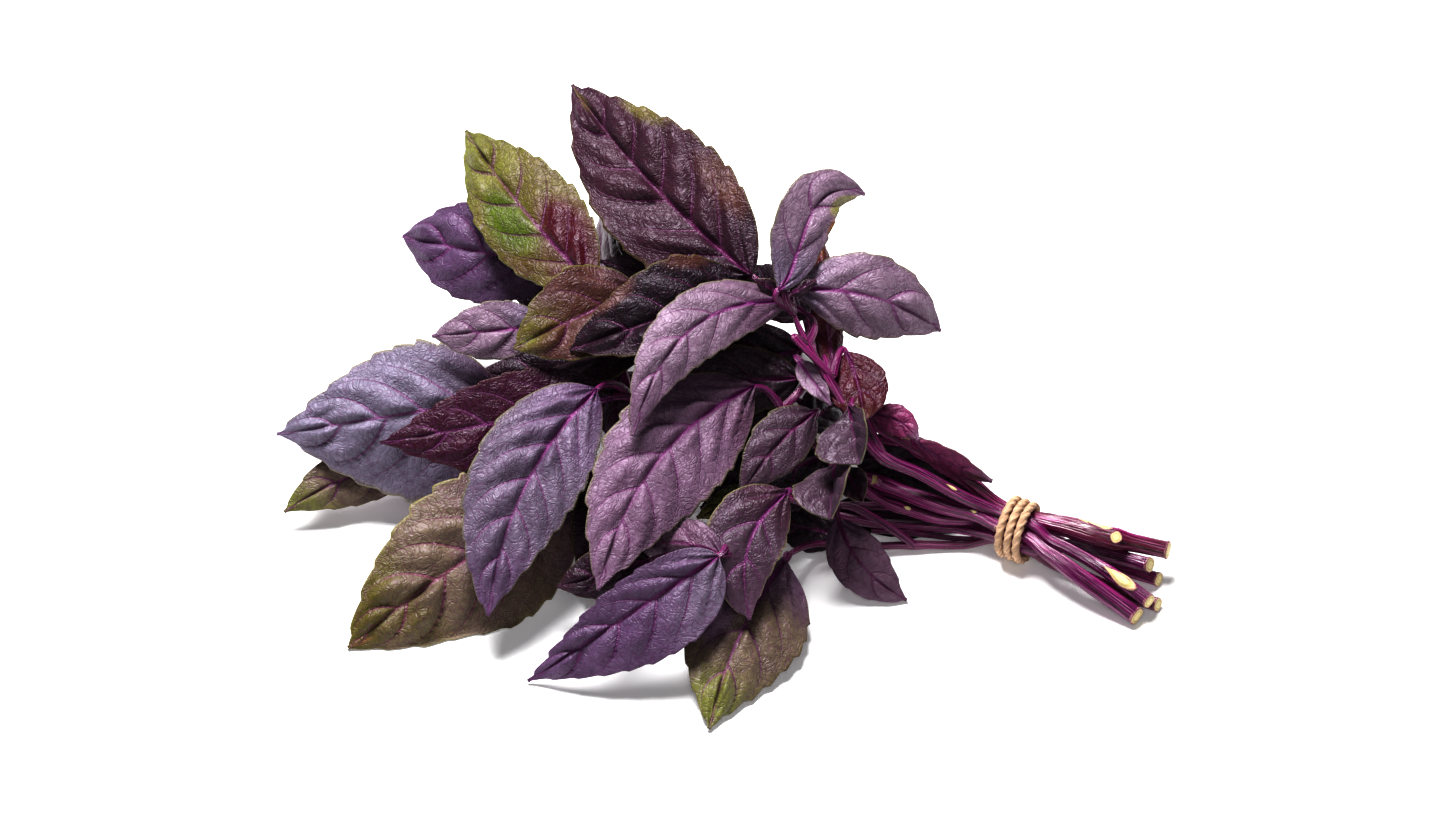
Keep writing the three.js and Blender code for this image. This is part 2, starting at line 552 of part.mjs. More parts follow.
// Everything that grows on one stem, as separate closed geometries.
function stemPieces(stem) {
  const curve = stemLine(stem);
  const lines = { main: curve };
  const radius = stemRadius(stem, curve);
  const pieces = [{ name: stem.name, geometry: tube(curve, STEM_STEPS, STEM_SIDES, radius, STEM_GROOVE) }];
  for (const branch of stem.branches ?? []) {
    const line = branchLine(branch, curve);
    const thickness = (along) => THREE.MathUtils.lerp(branch.radii[0], branch.radii[1], along);
    pieces.push({ name: branch.name, geometry: tube(line, BRANCH_STEPS, BRANCH_SIDES, thickness) });
    lines[branch.name] = line;
  }
  for (const shoot of stem.stubs ?? []) {
    pieces.push({ name: 'stub', geometry: stub(shoot, curve) });
  }
  for (const leaf of stem.leaves) {
    const line = lines[leaf.on ?? 'main'];
    pieces.push({ name: leaf.name, geometry: blade(leaf) });
    pieces.push({ name: `${leaf.name}_stalk`, geometry: petiole(leaf, line) });
  }
  return pieces;
}

const bunch = new THREE.Group();

for (const stem of STEMS) {
  const solids = stemPieces(stem).map((piece) => toSolid(piece.geometry));
  const fused = outerBody(solids.reduce((whole, solid) => whole.add(solid)));
  const mesh = new THREE.Mesh(
    toGeometry(fused),
    new THREE.MeshStandardMaterial({ color: stem.color, roughness: 0.5, metalness: 0 }),
  );
  mesh.name = stem.name;
  bunch.add(mesh);
}

const tie = new THREE.Mesh(
  twine(),
  new THREE.MeshStandardMaterial({ color: 0xb98a5c, roughness: 0.9, metalness: 0 }),
);
tie.name = 'twine_tie';
bunch.add(tie);

export default bunch;
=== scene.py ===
"""A bunch of purple basil, dressed: veined leaves, ridged stems with cut ends, and three-ply twine.

Places are in millimetres in the tables below and become metres when a mesh is made.
"""

import math

import bpy
import numpy as np
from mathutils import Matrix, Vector


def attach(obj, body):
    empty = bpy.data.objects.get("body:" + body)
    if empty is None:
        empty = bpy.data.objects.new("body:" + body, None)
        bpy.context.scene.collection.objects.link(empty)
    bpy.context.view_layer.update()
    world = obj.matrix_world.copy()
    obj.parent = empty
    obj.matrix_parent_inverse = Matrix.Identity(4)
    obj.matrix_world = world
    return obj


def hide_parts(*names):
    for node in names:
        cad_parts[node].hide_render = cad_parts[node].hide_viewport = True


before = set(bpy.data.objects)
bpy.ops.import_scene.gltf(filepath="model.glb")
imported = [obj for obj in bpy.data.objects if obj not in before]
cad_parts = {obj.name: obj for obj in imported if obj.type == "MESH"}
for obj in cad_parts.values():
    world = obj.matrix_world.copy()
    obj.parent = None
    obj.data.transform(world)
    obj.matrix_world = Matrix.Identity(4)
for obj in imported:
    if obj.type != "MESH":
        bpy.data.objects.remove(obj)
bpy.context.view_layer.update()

MM = 0.001

# The bunch's face, as in its source: places are [across, up, height].
FACE_TURN = math.radians(28)
FACE_TILT = math.radians(45)
FACE_REACH = 2000.0
FACE_CENTRE = np.array([-74.1, -15.3, 29.3])
FACE_ACROSS = np.array([math.cos(FACE_TURN), math.sin(FACE_TURN), 0.0])
FACE_OUT = np.array([
    math.sin(FACE_TURN) * math.cos(FACE_TILT),
    -math.cos(FACE_TURN) * math.cos(FACE_TILT),
    math.sin(FACE_TILT),
])
FACE_UP = np.cross(FACE_OUT, FACE_ACROSS)
EYE = FACE_CENTRE + FACE_OUT * FACE_REACH
FACE_WIDTH = 361.25
SENSOR = 36.0

# The floor's half width and the place that the lights aim at, in metres.
FLOOR_REACH = 4
LIT_PLACE = (-0.07, 0, 0.03)

# Blades. Columns run from the midrib to the margin, and rows from the stalk to the tip.
BLADE_THICKNESS = 0.45
LEAST_HALF_WIDTH = 0.5
HALF_COLUMNS = np.array([0, 0.02, 0.05, 0.09, 0.15, 0.22, 0.3, 0.39,
                         0.48, 0.57, 0.66, 0.75, 0.84, 0.92, 0.965, 1])
ROWS_AT_BASE, ROWS_PER_TOOTH, ROWS_AT_TIP = 10, 8, 6
OUTLINE_RISE, OUTLINE_FALL = 1.55, 1.6
LATE_BOW = 6.75
TEETH_FROM, TEETH_TO = 0.14, 0.965
TOOTH_SPACING, FEWEST_TEETH, MOST_TEETH = 7.2, 4, 8
TOOTH_DEPTH, TOOTH_SWELL, TOOTH_NOTCH, TOOTH_LEVEL = 0.034, 0.86, 0.14, 0.6
VEIN_GAP, FEWEST_VEINS, MOST_VEINS = 11.5, 3, 6
VEIN_LEAN, VEIN_SLOPE, VEIN_BEND, VEIN_CURVE = 0.08, 0.68, 0.4, 0.55
LEFT_TOOTH_SHIFT, LEFT_VEIN_SHIFT = 0.45, 0.035
TOOTH_VIGOUR, PILLOW_VIGOUR, WAVES = (0.55, 1.25), (0.45, 1.3), (1.6, 2.6)
PILLOW_TOP, WAVE_HEIGHT, EDGE_DROP = 0.508, 0.028, 0.3
CREASE_CELL, CREASE_HEIGHT, BUMP_CELL, BUMP_HEIGHT = 3.1, 0.07, 9.0, 0.016
MARGIN_TINT = 0.3
RIB_HALF_WIDTH, RIB_ABOVE, RIB_BELOW = 0.6, 0.25, 0.8
FLOOR_GAP = 0.02
FLAT_SCALE = 0.01

# Stems and leaf stalks, as points along each, and radii in millimetres.
STEM_POINTS, BRANCH_POINTS, STALK_POINTS = 110, 50, 12
STEM_FILLS_FROM, STEM_FULL_AT, STEM_THINNING = 0.05, 0.2, 1.5
TIP_SHARE, TIP_TAPER = 0.6, 0.65
SWELLING, SWELLING_REACH, SWOLLEN_BELOW = 0.2, 2.2, 0.9
STALK_ROOT, STALK_END, STALK_BEND = 1.15, 0.72, 0.45
STALK_UNDER_MIDRIB = ((0.04, 0.1, 0.66), (0.1, 0.3, 0.5), (0.2, 0.42, 0.25))
STALK_SECTION = {"Sides": 20, "Lobes": 4.0, "Lobe height": 0.06, "Twist": 12.0}

# Cut faces, turned a little towards the front, and torn scars. The profile is (reach, rise)
# from the middle of the face out and down into the stem.
CUT_PROFILE = ((0.0, 0.34), (0.4, 0.32), (0.68, 0.24), (0.86, 0.26),
               (0.97, 0.2), (1.03, 0.02), (1.0, -0.4), (0.0, -0.4))
CUT_SIDES, CUT_LOBE, CUT_SLANT = 28, 0.05, 0.32
SCAR_TAPER, SCAR_SINK = 0.6, 0.1

# Tie and twine.
TIE_NEAR_LEAVES = -3.6
TIE_NEAR_CUT_ENDS = 6.2
TIE_CENTRE_HEIGHT = 7.75
TWINE_RADIUS = 1.1
TWINE_PITCH = 2.4
TWINE_COIL_RADIUS = 6.95
TWINE_TURNS = 3
TWINE_TURNS_TO_UNDERSIDE = 0.91
TWINE_END_TURN, TWINE_END_SHARE = 0.06, 0.35
TWINE_PLY_SHARE = 0.9
TWINE_POINTS = 241
TWINE_SECTION = {"Sides": 24, "Lobes": 3.0, "Lobe height": 0.12, "Twist": 900.0}
FUZZ = {"Fibres per square metre": 250000.0, "Length": 0.002, "Thickness": 0.00004, "Seed": 7}

# Pigments.
PIGMENTS = dict(
    night="160a10", aubergine="28161f", wine="460a14", maroon="38081f",
    plum="3c222c", dusk="4a3844", bronze="4e3024", heather="563e54",
    # lilac, lavender, frost and petal are pale leaf tones: partly the leaves' own colour and partly
    # painted sheen.
    mauve="644a5c", lilac="745c70", violet="5c4662", lavender="6a5e70",
    frost="777082", petal="806c7c", taupe="6c5e4e", rose="7a3058",
    amber="8c6430", forest="3c4212", grass="4e5c12", olive="5e5624",
    moss="6e7036", straw="8c8654", berry="5c1c4c", orchid="74306a",
    # The stems' groove pigment is painted shade in their hollows; streak is a lighter magenta on the
    # raised streaks, partly the stem's own colour and partly painted light; ridge gives painted highlight
    # lines.
    stem_deep="580c46", stem_wine="5a102c", stem_bright="7a0e5c", painted_groove_shade="1c030e",
    streak="90246c", ridge="b878a0", vein_shadow="0c0408", underside="8a6a88",
    gloss="e8dcec", sheen="d8c8ea", pith="d2c28c", pith_pale="dac996",
    vessels="a89c5a", bark="d6c092", rind_pale="b88874", rind="6a2048",
    grain="e6d8b4", jute="c09060", jute_dark="9c765c", jute_light="e6c8aa",
)

# Leaf finishes: the pigments near the stalk, of the blade, the tip, the margin and the veins.
# The pigment near the stalk is mostly darker than the blade: partly the leaf's own colour and partly
# painted shade where the leaves crowd together.
FINISHES = dict(
    plum="aubergine plum plum olive berry",
    umber="night night aubergine olive berry",
    # The finishes that use lilac, lavender, frost and petal give pale blades: partly the leaves' own tone
    # and partly painted sheen.
    lilac="mauve petal lilac moss orchid",
    orchid="lavender petal petal moss orchid",
    wine="wine wine bronze wine berry",
    smoke="aubergine dusk dusk moss berry",
    dusk="plum dusk mauve straw orchid",
    olive="bronze olive moss moss berry",
    violet="lavender violet violet heather orchid",
    brown="plum bronze olive moss berry",
    dark="night aubergine plum olive berry",
    maroon="night maroon maroon bronze orchid",
    blue="violet lavender violet moss orchid",
    frost="heather frost frost straw orchid",
    khaki="mauve taupe olive straw rose",
    moss="lilac taupe moss olive orchid",
    mauve="mauve lilac lilac moss orchid",
    night="heather mauve mauve dusk berry",
    green="forest forest olive moss olive",
    # shade gives near-black blades to the leaves that fill the dark inside of the bunch: painted shade.
    shade="night night aubergine plum berry",
    magenta="rose rose lilac bronze berry",
)

# What a leaf is like where it has no option: on is what it grows from, and the rest are as in
# the source, with quilt for the height of the pillows between its veins.
PLAIN_LEAF = dict(on="main", arch=0, sweep=0, hook=0, roll=0, fold=0, lop=0, belly=0.42, point=1,
                  quilt=0.1, patches=())

# Each stem as in the bunch's source: bare, from the middle of the cut face, and route are places
# in the face, tail is x, y, z, and tied is y, z from the tie's centre. tints are the pigments at
# the cut end and at the tip. A scar is (place along the stem, turn up, half length, half width).
# A leaf is (name, place along the stem, base, tip, width, finish), with options where it has any,
# and a patch is (place along, place across, size, pigment).
STEMS = {}

STEMS["crown_stem"] = dict(
    tints=("stem_deep", "stem_deep"),
    tied=(-0.5, 4), tail_radii=(1.9, 1.95, 1.55, 1.5), radii=(1.5, 1.6, 1.3),
    bare=[(106.3, -48.4, 5.4)],
    tail=[(28, -2.8, 7.9), (22, -2.1, 8.7), (16, -1.7, 9.5), (10.5, -1.5, 10.1)],
    route=[(59.4, -22.3, 15.6), (49.4, -16.8, 20.5), (38.8, -11.7, 26.5),
           (28.9, 2.9, 38), (19.4, 19.1, 48), (16.6, 27.1, 53)],
    scars=[(0.07, 0.3, 5.0, 1.5), (0.47, 0.8, 1.6, 0.4)],
    branches=[dict(name="crown_runner", at=0.9, radii=(1.0, 0.8),
                   route=[(17.9, 17.4, 49), (21.9, 13.1, 46), (27.9, 7.1, 41)])],
    leaves=[
        ("crown_back", 0.97, (7.4, 32.6, 57), (-37.6, 80.4, 70), 34, "plum",
         dict(sweep=-2.6, arch=2, fold=8, lop=0.02, belly=0.41, point=1.02,
              patches=[(0.95, 0, 0.12, "olive"), (0.3, 0.8, 0.2, "bronze"),
                       (0.72, 0.9, 0.13, "olive")])),
        ("crown_left", 0.97, (7.4, 29.1, 54), (-38.1, 14.1, 48), 25, "umber",
         dict(sweep=-1.5, arch=4, roll=22, fold=18, lop=0.12,
              patches=[(0.3, 0.95, 0.14, "bronze"), (0.7, 0.9, 0.16, "bronze")])),
        ("crown_front", 0.97, (15.9, 25.9, 52), (-22.4, -7.4, 45), 17.5, "lilac",
         dict(sweep=10.5, arch=5, fold=-6)),
        ("crown_up", 0.98, (13.9, 29.1, 58), (35.6, 53.1, 66), 15.5, "orchid",
         dict(sweep=-7.8, hook=1, arch=3, roll=10, fold=8, lop=-0.15, belly=0.5,
              patches=[(0.8, 0.75, 0.2, "straw"), (0.55, 1, 0.1, "amber")])),
        ("crown_right", 0.98, (18.6, 29.4, 54), (54.6, 18.9, 42), 21.5, "orchid",
         dict(sweep=-3.3, arch=5, fold=-8, belly=0.45)),
        ("crown_behind", 0.8, (27.4, 8.6, 38), (23.4, 46.1, 50), 10, "wine",
         dict(roll=30, patches=[(0.9, 0, 0.2, "amber")])),
        ("crown_red", 0.97, (30.9, 13.6, 42), (35.4, -3.6, 36), 15, "wine",
         dict(on="crown_runner", sweep=-0.8, belly=0.5)),
        ("crown_bud", 0.75, (19.1, 11.1, 40), (27.1, 0.4, 38), 7, "lilac", dict(fold=30)),
        ("crown_low", 0.62, (32.4, 0.1, 38), (34.4, -14.4, 36), 22, "smoke",
         dict(fold=38, roll=38, belly=0.7)),
        ("crown_under", 0.82, (19.9, 14.1, 38), (-5.6, 8.6, 30), 18, "shade", dict(arch=2)),
        ("crown_tip_left", 0.97, (13.9, 28.6, 56), (8.4, 31.6, 60), 4, "dark"),
        ("crown_tip_up", 0.97, (15.4, 29.1, 57), (15.9, 37.1, 61), 5, "smoke"),
        ("crown_tip_right", 0.97, (16.9, 28.1, 56), (23.4, 31.6, 58), 4, "dark"),
        ("crown_shade", 0.9, (21.4, 22.9, 46), (3.4, 35.1, 45), 13, "shade"),
        ("crown_back_low", 0.88, (19.1, 25.2, 42), (15.2, 30, 14), 24, "shade", dict(arch=5)),
    ],
)

STEMS["upper_stem"] = dict(
    tints=("stem_wine", "stem_bright"),
    tied=(2.7, 3), tail_radii=(2.35, 2.45, 3, 2.55), radii=(1.5, 1.95, 1.2),
    bare=[(110.8, -35.8, 8.6)], tail=[(22.6, 4.9, 11.1), (13.3, 3.6, 11.2)],
    route=[(62.1, -19.3, 14.5), (50.1, -10.9, 20), (39.4, -3.4, 26),
           (19.4, 8.6, 32), (-5.6, 22.1, 40), (-23.6, 32.4, 46)],
    stubs=[dict(at=0.08, radius=1.5, lean=(0.7, -2.4, 3.3))],
    scars=[(0.12, 1.8, 4.6, 0.9), (0.485, 0.2, 3.6, 1.0)],
    leaves=[
        ("upper_olive", 0.97, (-32.6, 30.6, 52), (-64.1, 68.9, 58), 26, "olive",
         dict(arch=2, sweep=-1.4, lop=0.02,
              patches=[(0.5, -0.4, 0.26, "grass"), (0.25, 0.4, 0.26, "wine"),
                       (0.1, -0.5, 0.14, "bronze")])),
        ("upper_far", 0.9, (-40.1, 35.4, 42), (-79.9, 42.6, 35), 26, "violet",
         dict(arch=3, belly=0.46, sweep=-0.5)),
        ("upper_brown", 0.97, (-20.6, 28.6, 51), (-52.1, 14.4, 46), 25, "brown",
         dict(roll=15, fold=10, arch=2, patches=[(0.92, 0, 0.16, "moss"), (0.4, -0.8, 0.2, "olive")])),
        ("upper_lilac", 0.9, (-44.4, 20.1, 45), (-72.6, 17.6, 43), 15, "orchid", dict(arch=2)),
        ("upper_stemleaf", 0.44, (48.8, -8.6, 27), (67.4, -18.9, 17), 8, "magenta",
         dict(roll=45, sweep=1, patches=[(0.8, 0, 0.2, "bronze")])),
        ("upper_curl", 0.4, (37.9, -1.9, 30), (48.9, -8.4, 28), 8, "magenta", dict(sweep=-1.5)),
        ("upper_shade", 0.45, (37.4, -9.4, 18), (66, -25, 9), 10, "shade"),
        ("upper_dusk", 0.33, (47.9, -11.4, 16), (31.4, -12.9, 18), 11, "shade"),
        ("upper_gloom", 0.75, (1.4, 28.4, 45), (-30.6, 36.4, 48), 13, "shade"),
        ("upper_under", 0.82, (-16.9, 20.1, 34), (-51.9, 27.1, 32), 18, "shade", dict(arch=2)),
        ("upper_back_left", 0.93, (-22.3, 34.4, 40), (-31, 34.7, 0.5), 30, "plum", dict(arch=5)),
        ("upper_back_right", 0.8, (-9.6, 27.6, 36), (-3.5, 33.6, 0.5), 30, "plum", dict(arch=5)),
    ],
)

STEMS["middle_stem"] = dict(
    tints=("stem_deep", "stem_bright"),
    tied=(-3.3, 2.2), tail_radii=(2.4, 2.45, 2.3, 1.7), radii=(1.5, 2.15, 1.2),
    bare=[(103.1, -52.1, 2.6)], tail=[(22.1, -7, 7.2), (15, -5.8, 8.9), (11.5, -5.2, 9.5)],
    route=[(63.8, -27.4, 10.8), (54.1, -24.6, 11.5), (42.1, -20.4, 13), (31.9, -16.9, 16),
           (9.4, -10.4, 21), (-10.6, -1.4, 28), (-27.1, 3.4, 33)],
    branches=[dict(name="far", at=0.6, radii=(1.5, 1.1),
                   route=[(-0.6, -18.4, 14), (-20.6, -18.9, 12),
                          (-36.9, -15.9, 15), (-48.1, -8.4, 21)])],
    stubs=[dict(at=0.5, radius=1.3, lean=(-2.4, -1.7, 2.6))],
    scars=[(0.34, 0.6, 0.9, 0.4)],
    leaves=[
        ("middle_maroon", 0.95, (-27.6, 2.1, 35), (-85.6, -9.1, 29), 25.5, "maroon",
         dict(arch=2, sweep=-0.5, lop=-0.08, point=1.15, quilt=0.05)),
        ("middle_blue", 0.97, (-31.6, 4.1, 41), (-58.6, -52.4, 14), 28, "blue",
         dict(sweep=5.5, arch=3, fold=5, lop=0.06)),
        ("middle_sliver", 0.9, (-20.6, 14.1, 35), (-47.9, 4.6, 34), 17, "dark", dict(roll=62)),
        ("middle_dark", 0.97, (-26.1, 9.6, 31), (-27.1, -8.4, 26), 15, "night"),
        ("far_grey", 0.97, (-54.4, 2.1, 28), (-111.4, -6.9, 20), 41, "frost",
         dict(on="far", arch=4, fold=-13, lop=-0.12, point=1.2, quilt=0.06)),
        ("far_olive", 0.75, (-36.1, -21.9, 15), (-93.6, -60.4, 1), 40, "khaki",
         dict(on="far", sweep=2, arch=4, fold=-4, belly=0.42, lop=-0.04,
              patches=[(0.8, 0.7, 0.16, "olive"), (0.35, 0, 0.2, "mauve"),
                       (0.97, -0.3, 0.08, "amber")])),
        ("far_low", 0.97, (-75.6, -13.9, 9), (-109.6, -26.4, 6), 15.5, "moss",
         dict(on="far", arch=2, sweep=2.6)),
        ("middle_deep", 0.93, (-23.6, 8.1, 28), (-61.6, 8.1, 25), 15, "shade", dict(arch=2)),
        ("middle_shade", 0.52, (36.4, -16.9, 11), (64.4, -25.9, 7), 9, "shade"),
        ("middle_under", 0.62, (-19.4, -14.9, 17), (-34.4, -46.9, 4.5), 24, "dark", dict(arch=3)),
    ],
)

STEMS["front_stem"] = dict(
    tints=("stem_bright", "stem_deep"),
    tied=(2.2, -1.45), tail_radii=(1.85, 1.9, 1.9, 1.9), radii=(2.3, 1.4, 1.2),
    bare=[(108.6, -43.1, 1.95), (94.4, -38.6, 1.95)], tail=[(12, 4.2, 3.5)],
    route=[(54.1, -28.1, 8), (46.9, -26.1, 9), (39.8, -23.6, 12), (30.6, -17.1, 19),
           (20.6, -5.9, 27), (12.4, 1.6, 34)],
    scars=[(0.6, 0.4, 1.0, 0.6)],
    leaves=[
        ("front_big", 0.97, (7.4, 4.6, 38), (-31.1, -45.9, 22), 30, "mauve",
         dict(sweep=7.6, arch=4, lop=-0.04)),
        ("front_side", 0.9, (23.1, -1.4, 33), (4.6, -22.1, 26), 14.5, "smoke", dict(arch=2, sweep=1.5)),
        ("front_inner", 0.97, (19.4, 7.1, 36), (-20.6, 5.4, 33), 18, "dark", dict(arch=2)),
        ("front_point", 0.76, (28.9, -14.9, 25.4), (26.9, -28.1, 27), 21, "smoke",
         dict(fold=38, roll=38, belly=0.6)),
        ("front_shade", 0.83, (20.9, -4.4, 28), (29.9, 2.4, 21), 13, "shade", dict(arch=1)),
        ("front_dusk", 0.9, (17.4, 1.4, 29), (1.4, -8.6, 25), 10, "shade"),
        ("front_floor", 0.62, (27.4, -25.4, 3), (62.6, -30.3, 1), 13, "shade", dict(lop=0.2)),
        ("front_under", 0.8, (26.4, -11.9, 21), (-5.6, -25.4, 15), 20, "shade", dict(arch=2)),
        ("front_curl", 0.7, (30.9, -15.9, 24), (34.9, -23.9, 22), 9, "dark", dict(fold=25)),
    ],
)

STEMS["low_stem"] = dict(
    tints=("stem_deep", "stem_deep"),
    tied=(-3.85, -1.05), tail_radii=(1.95, 1.95, 1.9, 1.6), radii=(1.5, 1.35, 1.2),
    bare=[(106.4, -39.5, 7.4)], tail=[(22, 3.9, 6.1), (15.5, 2, 6.9), (9.5, -1.9, 6.4)],
    route=[(59.4, -30.5, 4.6), (50.1, -30, 4.1), (34.4, -28.6, 8), (24.4, -26.1, 15),
           (15.6, -22.9, 23), (6.9, -26.4, 24), (-1.6, -36.6, 25)],
    leaves=[
        ("low_front", 0.83, (16.1, -21.6, 30), (6.9, -53.4, 14), 20, "dusk",
         dict(sweep=5.5, arch=3, lop=0.14)),
        ("low_violet", 0.97, (-1.1, -37.4, 27), (-48.6, -68.6, 1), 23, "violet",
         dict(arch=4, belly=0.34, lop=-0.26, fold=10)),
        ("low_lobe", 0.95, (-0.1, -36.9, 26), (-20.6, -36.9, 16), 13, "night",
         dict(sweep=3, arch=3, fold=-25)),
        ("low_scrap", 0.9, (-18.1, -38.4, 20), (-41.4, -45.1, 13), 14, "dark"),
        ("low_green", 0.82, (8.4, -20.4, 23), (-6.4, -27.9, 20), 7, "green"),
        ("low_under", 0.8, (7.4, -30.9, 14), (-8.1, -48.4, 4), 18, "shade", dict(arch=2)),
    ],
)

STEMS["near_stem"] = dict(
    tints=("stem_wine", "stem_deep"),
    tied=(-1.75, -3.6), tail_radii=(1.85, 1.85, 1.7, 1.5), radii=(1.5, 1.05, 1.1),
    bare=[(108.4, -49.4, 1.95), (100.6, -47, 1.95), (91.6, -43.1, 2.1)], tail=[(12, -1.7, 2.5)],
    route=[(60.6, -34.5, 1.6), (50.1, -34.6, 2), (34.4, -34.9, 3), (23.1, -34.4, 5), (14.9, -37.9, 14)],
    branches=[dict(name="near_fork", at=0.4, radii=(0.75, 0.7),
                   route=[(60.1, -33.1, 2.2), (51.3, -32.2, 2.8),
                          (44.4, -31.4, 3.6), (37.2, -31, 4.4)])],
    leaves=[
        ("near_olive", 0.97, (15.4, -39.1, 13), (-3.4, -80.6, 1), 31, "moss",
         dict(sweep=2.6, arch=1.5, fold=-8, belly=0.36,
              patches=[(0.85, 0, 0.2, "moss"), (0.45, 0.5, 0.2, "lilac")])),
        ("near_right", 0.6, (28.9, -28.4, 15), (46.1, -48.4, 1), 14, "night", dict(arch=2, sweep=2.8)),
        ("near_under", 0.72, (29.9, -31.9, 5), (11.9, -28.9, 4), 12, "shade", dict(arch=2)),
    ],
)


def face_point(place):
    """A place in the face, as a point of the bunch."""
    across, up, height = place
    point = FACE_CENTRE + FACE_ACROSS * across + FACE_UP * up
    sight = EYE - point
    return point + sight * ((height - point[2]) / sight[2])


def unit(vectors):
    return vectors / np.linalg.norm(vectors, axis=-1, keepdims=True)


def smooth_step(values, low, high):
    share = np.clip((values - low) / (high - low), 0, 1)
    return share * share * (3 - 2 * share)


def pigment(name):
    return linear(PIGMENTS[name])


def linear(hex_color):
    """A hex colour as linear light."""
    parts = np.array([int(hex_color[at:at + 2], 16) / 255 for at in (0, 2, 4)])
    return np.where(parts <= 0.04045, parts / 12.92, ((parts + 0.055) / 1.055) ** 2.4)


def blend_colors(first, second, share):
    return first + (second - first) * np.asarray(share)[..., None]


def patchy(x, y, cell, draw):
    """Smooth seeded noise from -1 to 1, with patches about cell wide."""
    lattice = draw.uniform(-1, 1, (64, 64))
    x, y = x / cell + 17.3, y / cell + 23.7
    left, low = np.floor(x).astype(int), np.floor(y).astype(int)
    ease_x, ease_y = smooth_step(x - left, 0, 1), smooth_step(y - low, 0, 1)
    left, right, low, high = left % 64, (left + 1) % 64, low % 64, (low + 1) % 64
    near = lattice[left, low] * (1 - ease_x) + lattice[right, low] * ease_x
    far = lattice[left, high] * (1 - ease_x) + lattice[right, high] * ease_x
    return near * (1 - ease_y) + far * ease_y


def centripetal(points):
    """A centripetal Catmull-Rom curve through the points, as 40 points a span."""
    points = np.asarray(points, float)
    points = np.vstack([2 * points[0] - points[1], points, 2 * points[-1] - points[-2]])
    line = []
    for first in range(len(points) - 3):
        a, b, c, d = points[first:first + 4]
        gap_a, gap_b, gap_c = (np.linalg.norm(q - p) ** 0.5 for p, q in ((a, b), (b, c), (c, d)))
        start = ((b - a) / gap_a - (c - a) / (gap_a + gap_b) + (c - b) / gap_b) * gap_b
        end = ((c - b) / gap_b - (d - b) / (gap_b + gap_c) + (d - c) / gap_c) * gap_b
        t = np.linspace(0, 1, 41)[:-1, None]
        line.append((2 * t ** 3 - 3 * t ** 2 + 1) * b + (t ** 3 - 2 * t ** 2 + t) * start
                    + (-2 * t ** 3 + 3 * t ** 2) * c + (t ** 3 - t ** 2) * end)
    return np.vstack([*line, points[-2]])


def along_line(line, shares):
    """Points at 0 to 1 of the line's length."""
    steps = np.linalg.norm(np.diff(line, axis=0), axis=1)
    reach = np.concatenate([[0], np.cumsum(steps)]) / steps.sum()
    return np.stack([np.interp(shares, reach, line[:, axis]) for axis in range(3)], -1)


def line_length(line):
    return np.linalg.norm(np.diff(line, axis=0), axis=1).sum()


# ---- Blades

def midrib(leaf, along):
    """The midrib's points, with the directions ahead, to the side and out of the upper face."""
    base, tip = face_point(leaf["base"]), face_point(leaf["tip"])
    chord = tip - base
    ahead = unit(chord)
    towards_eye = unit(FACE_OUT - ahead * (FACE_OUT @ ahead))
    roll = math.radians(leaf["roll"])
    out = towards_eye * math.cos(roll) + np.cross(ahead, towards_eye) * math.sin(roll)
    side = np.cross(ahead, out)
    along = np.asarray(along, float)[:, None]
    even, late = 4 * along * (1 - along), LATE_BOW * along ** 2 * (1 - along)
    even_slope, late_slope = 4 - 8 * along, LATE_BOW * along * (2 - 3 * along)
    hook, arch, sweep = leaf["hook"], leaf["arch"], leaf["sweep"]
    bow, slope = even + (late - even) * hook, even_slope + (late_slope - even_slope) * hook
    points = base + chord * along + out * arch * bow + side * sweep * bow
    tangents = unit(chord + out * arch * slope + side * sweep * slope)
    normals = unit(out - tangents * (tangents @ out)[:, None])
    return points, tangents, normals, np.cross(tangents, normals)


def half_width(leaf, along):
    """Half of the blade's width, in millimetres, before its teeth."""
    belly = leaf["belly"]
    rise = (along / belly) ** (OUTLINE_RISE * belly)
    fall = ((1 - along) / (1 - belly)) ** (OUTLINE_FALL * (1 - belly) * leaf["point"])
    return leaf["width"] / 2 * rise * fall


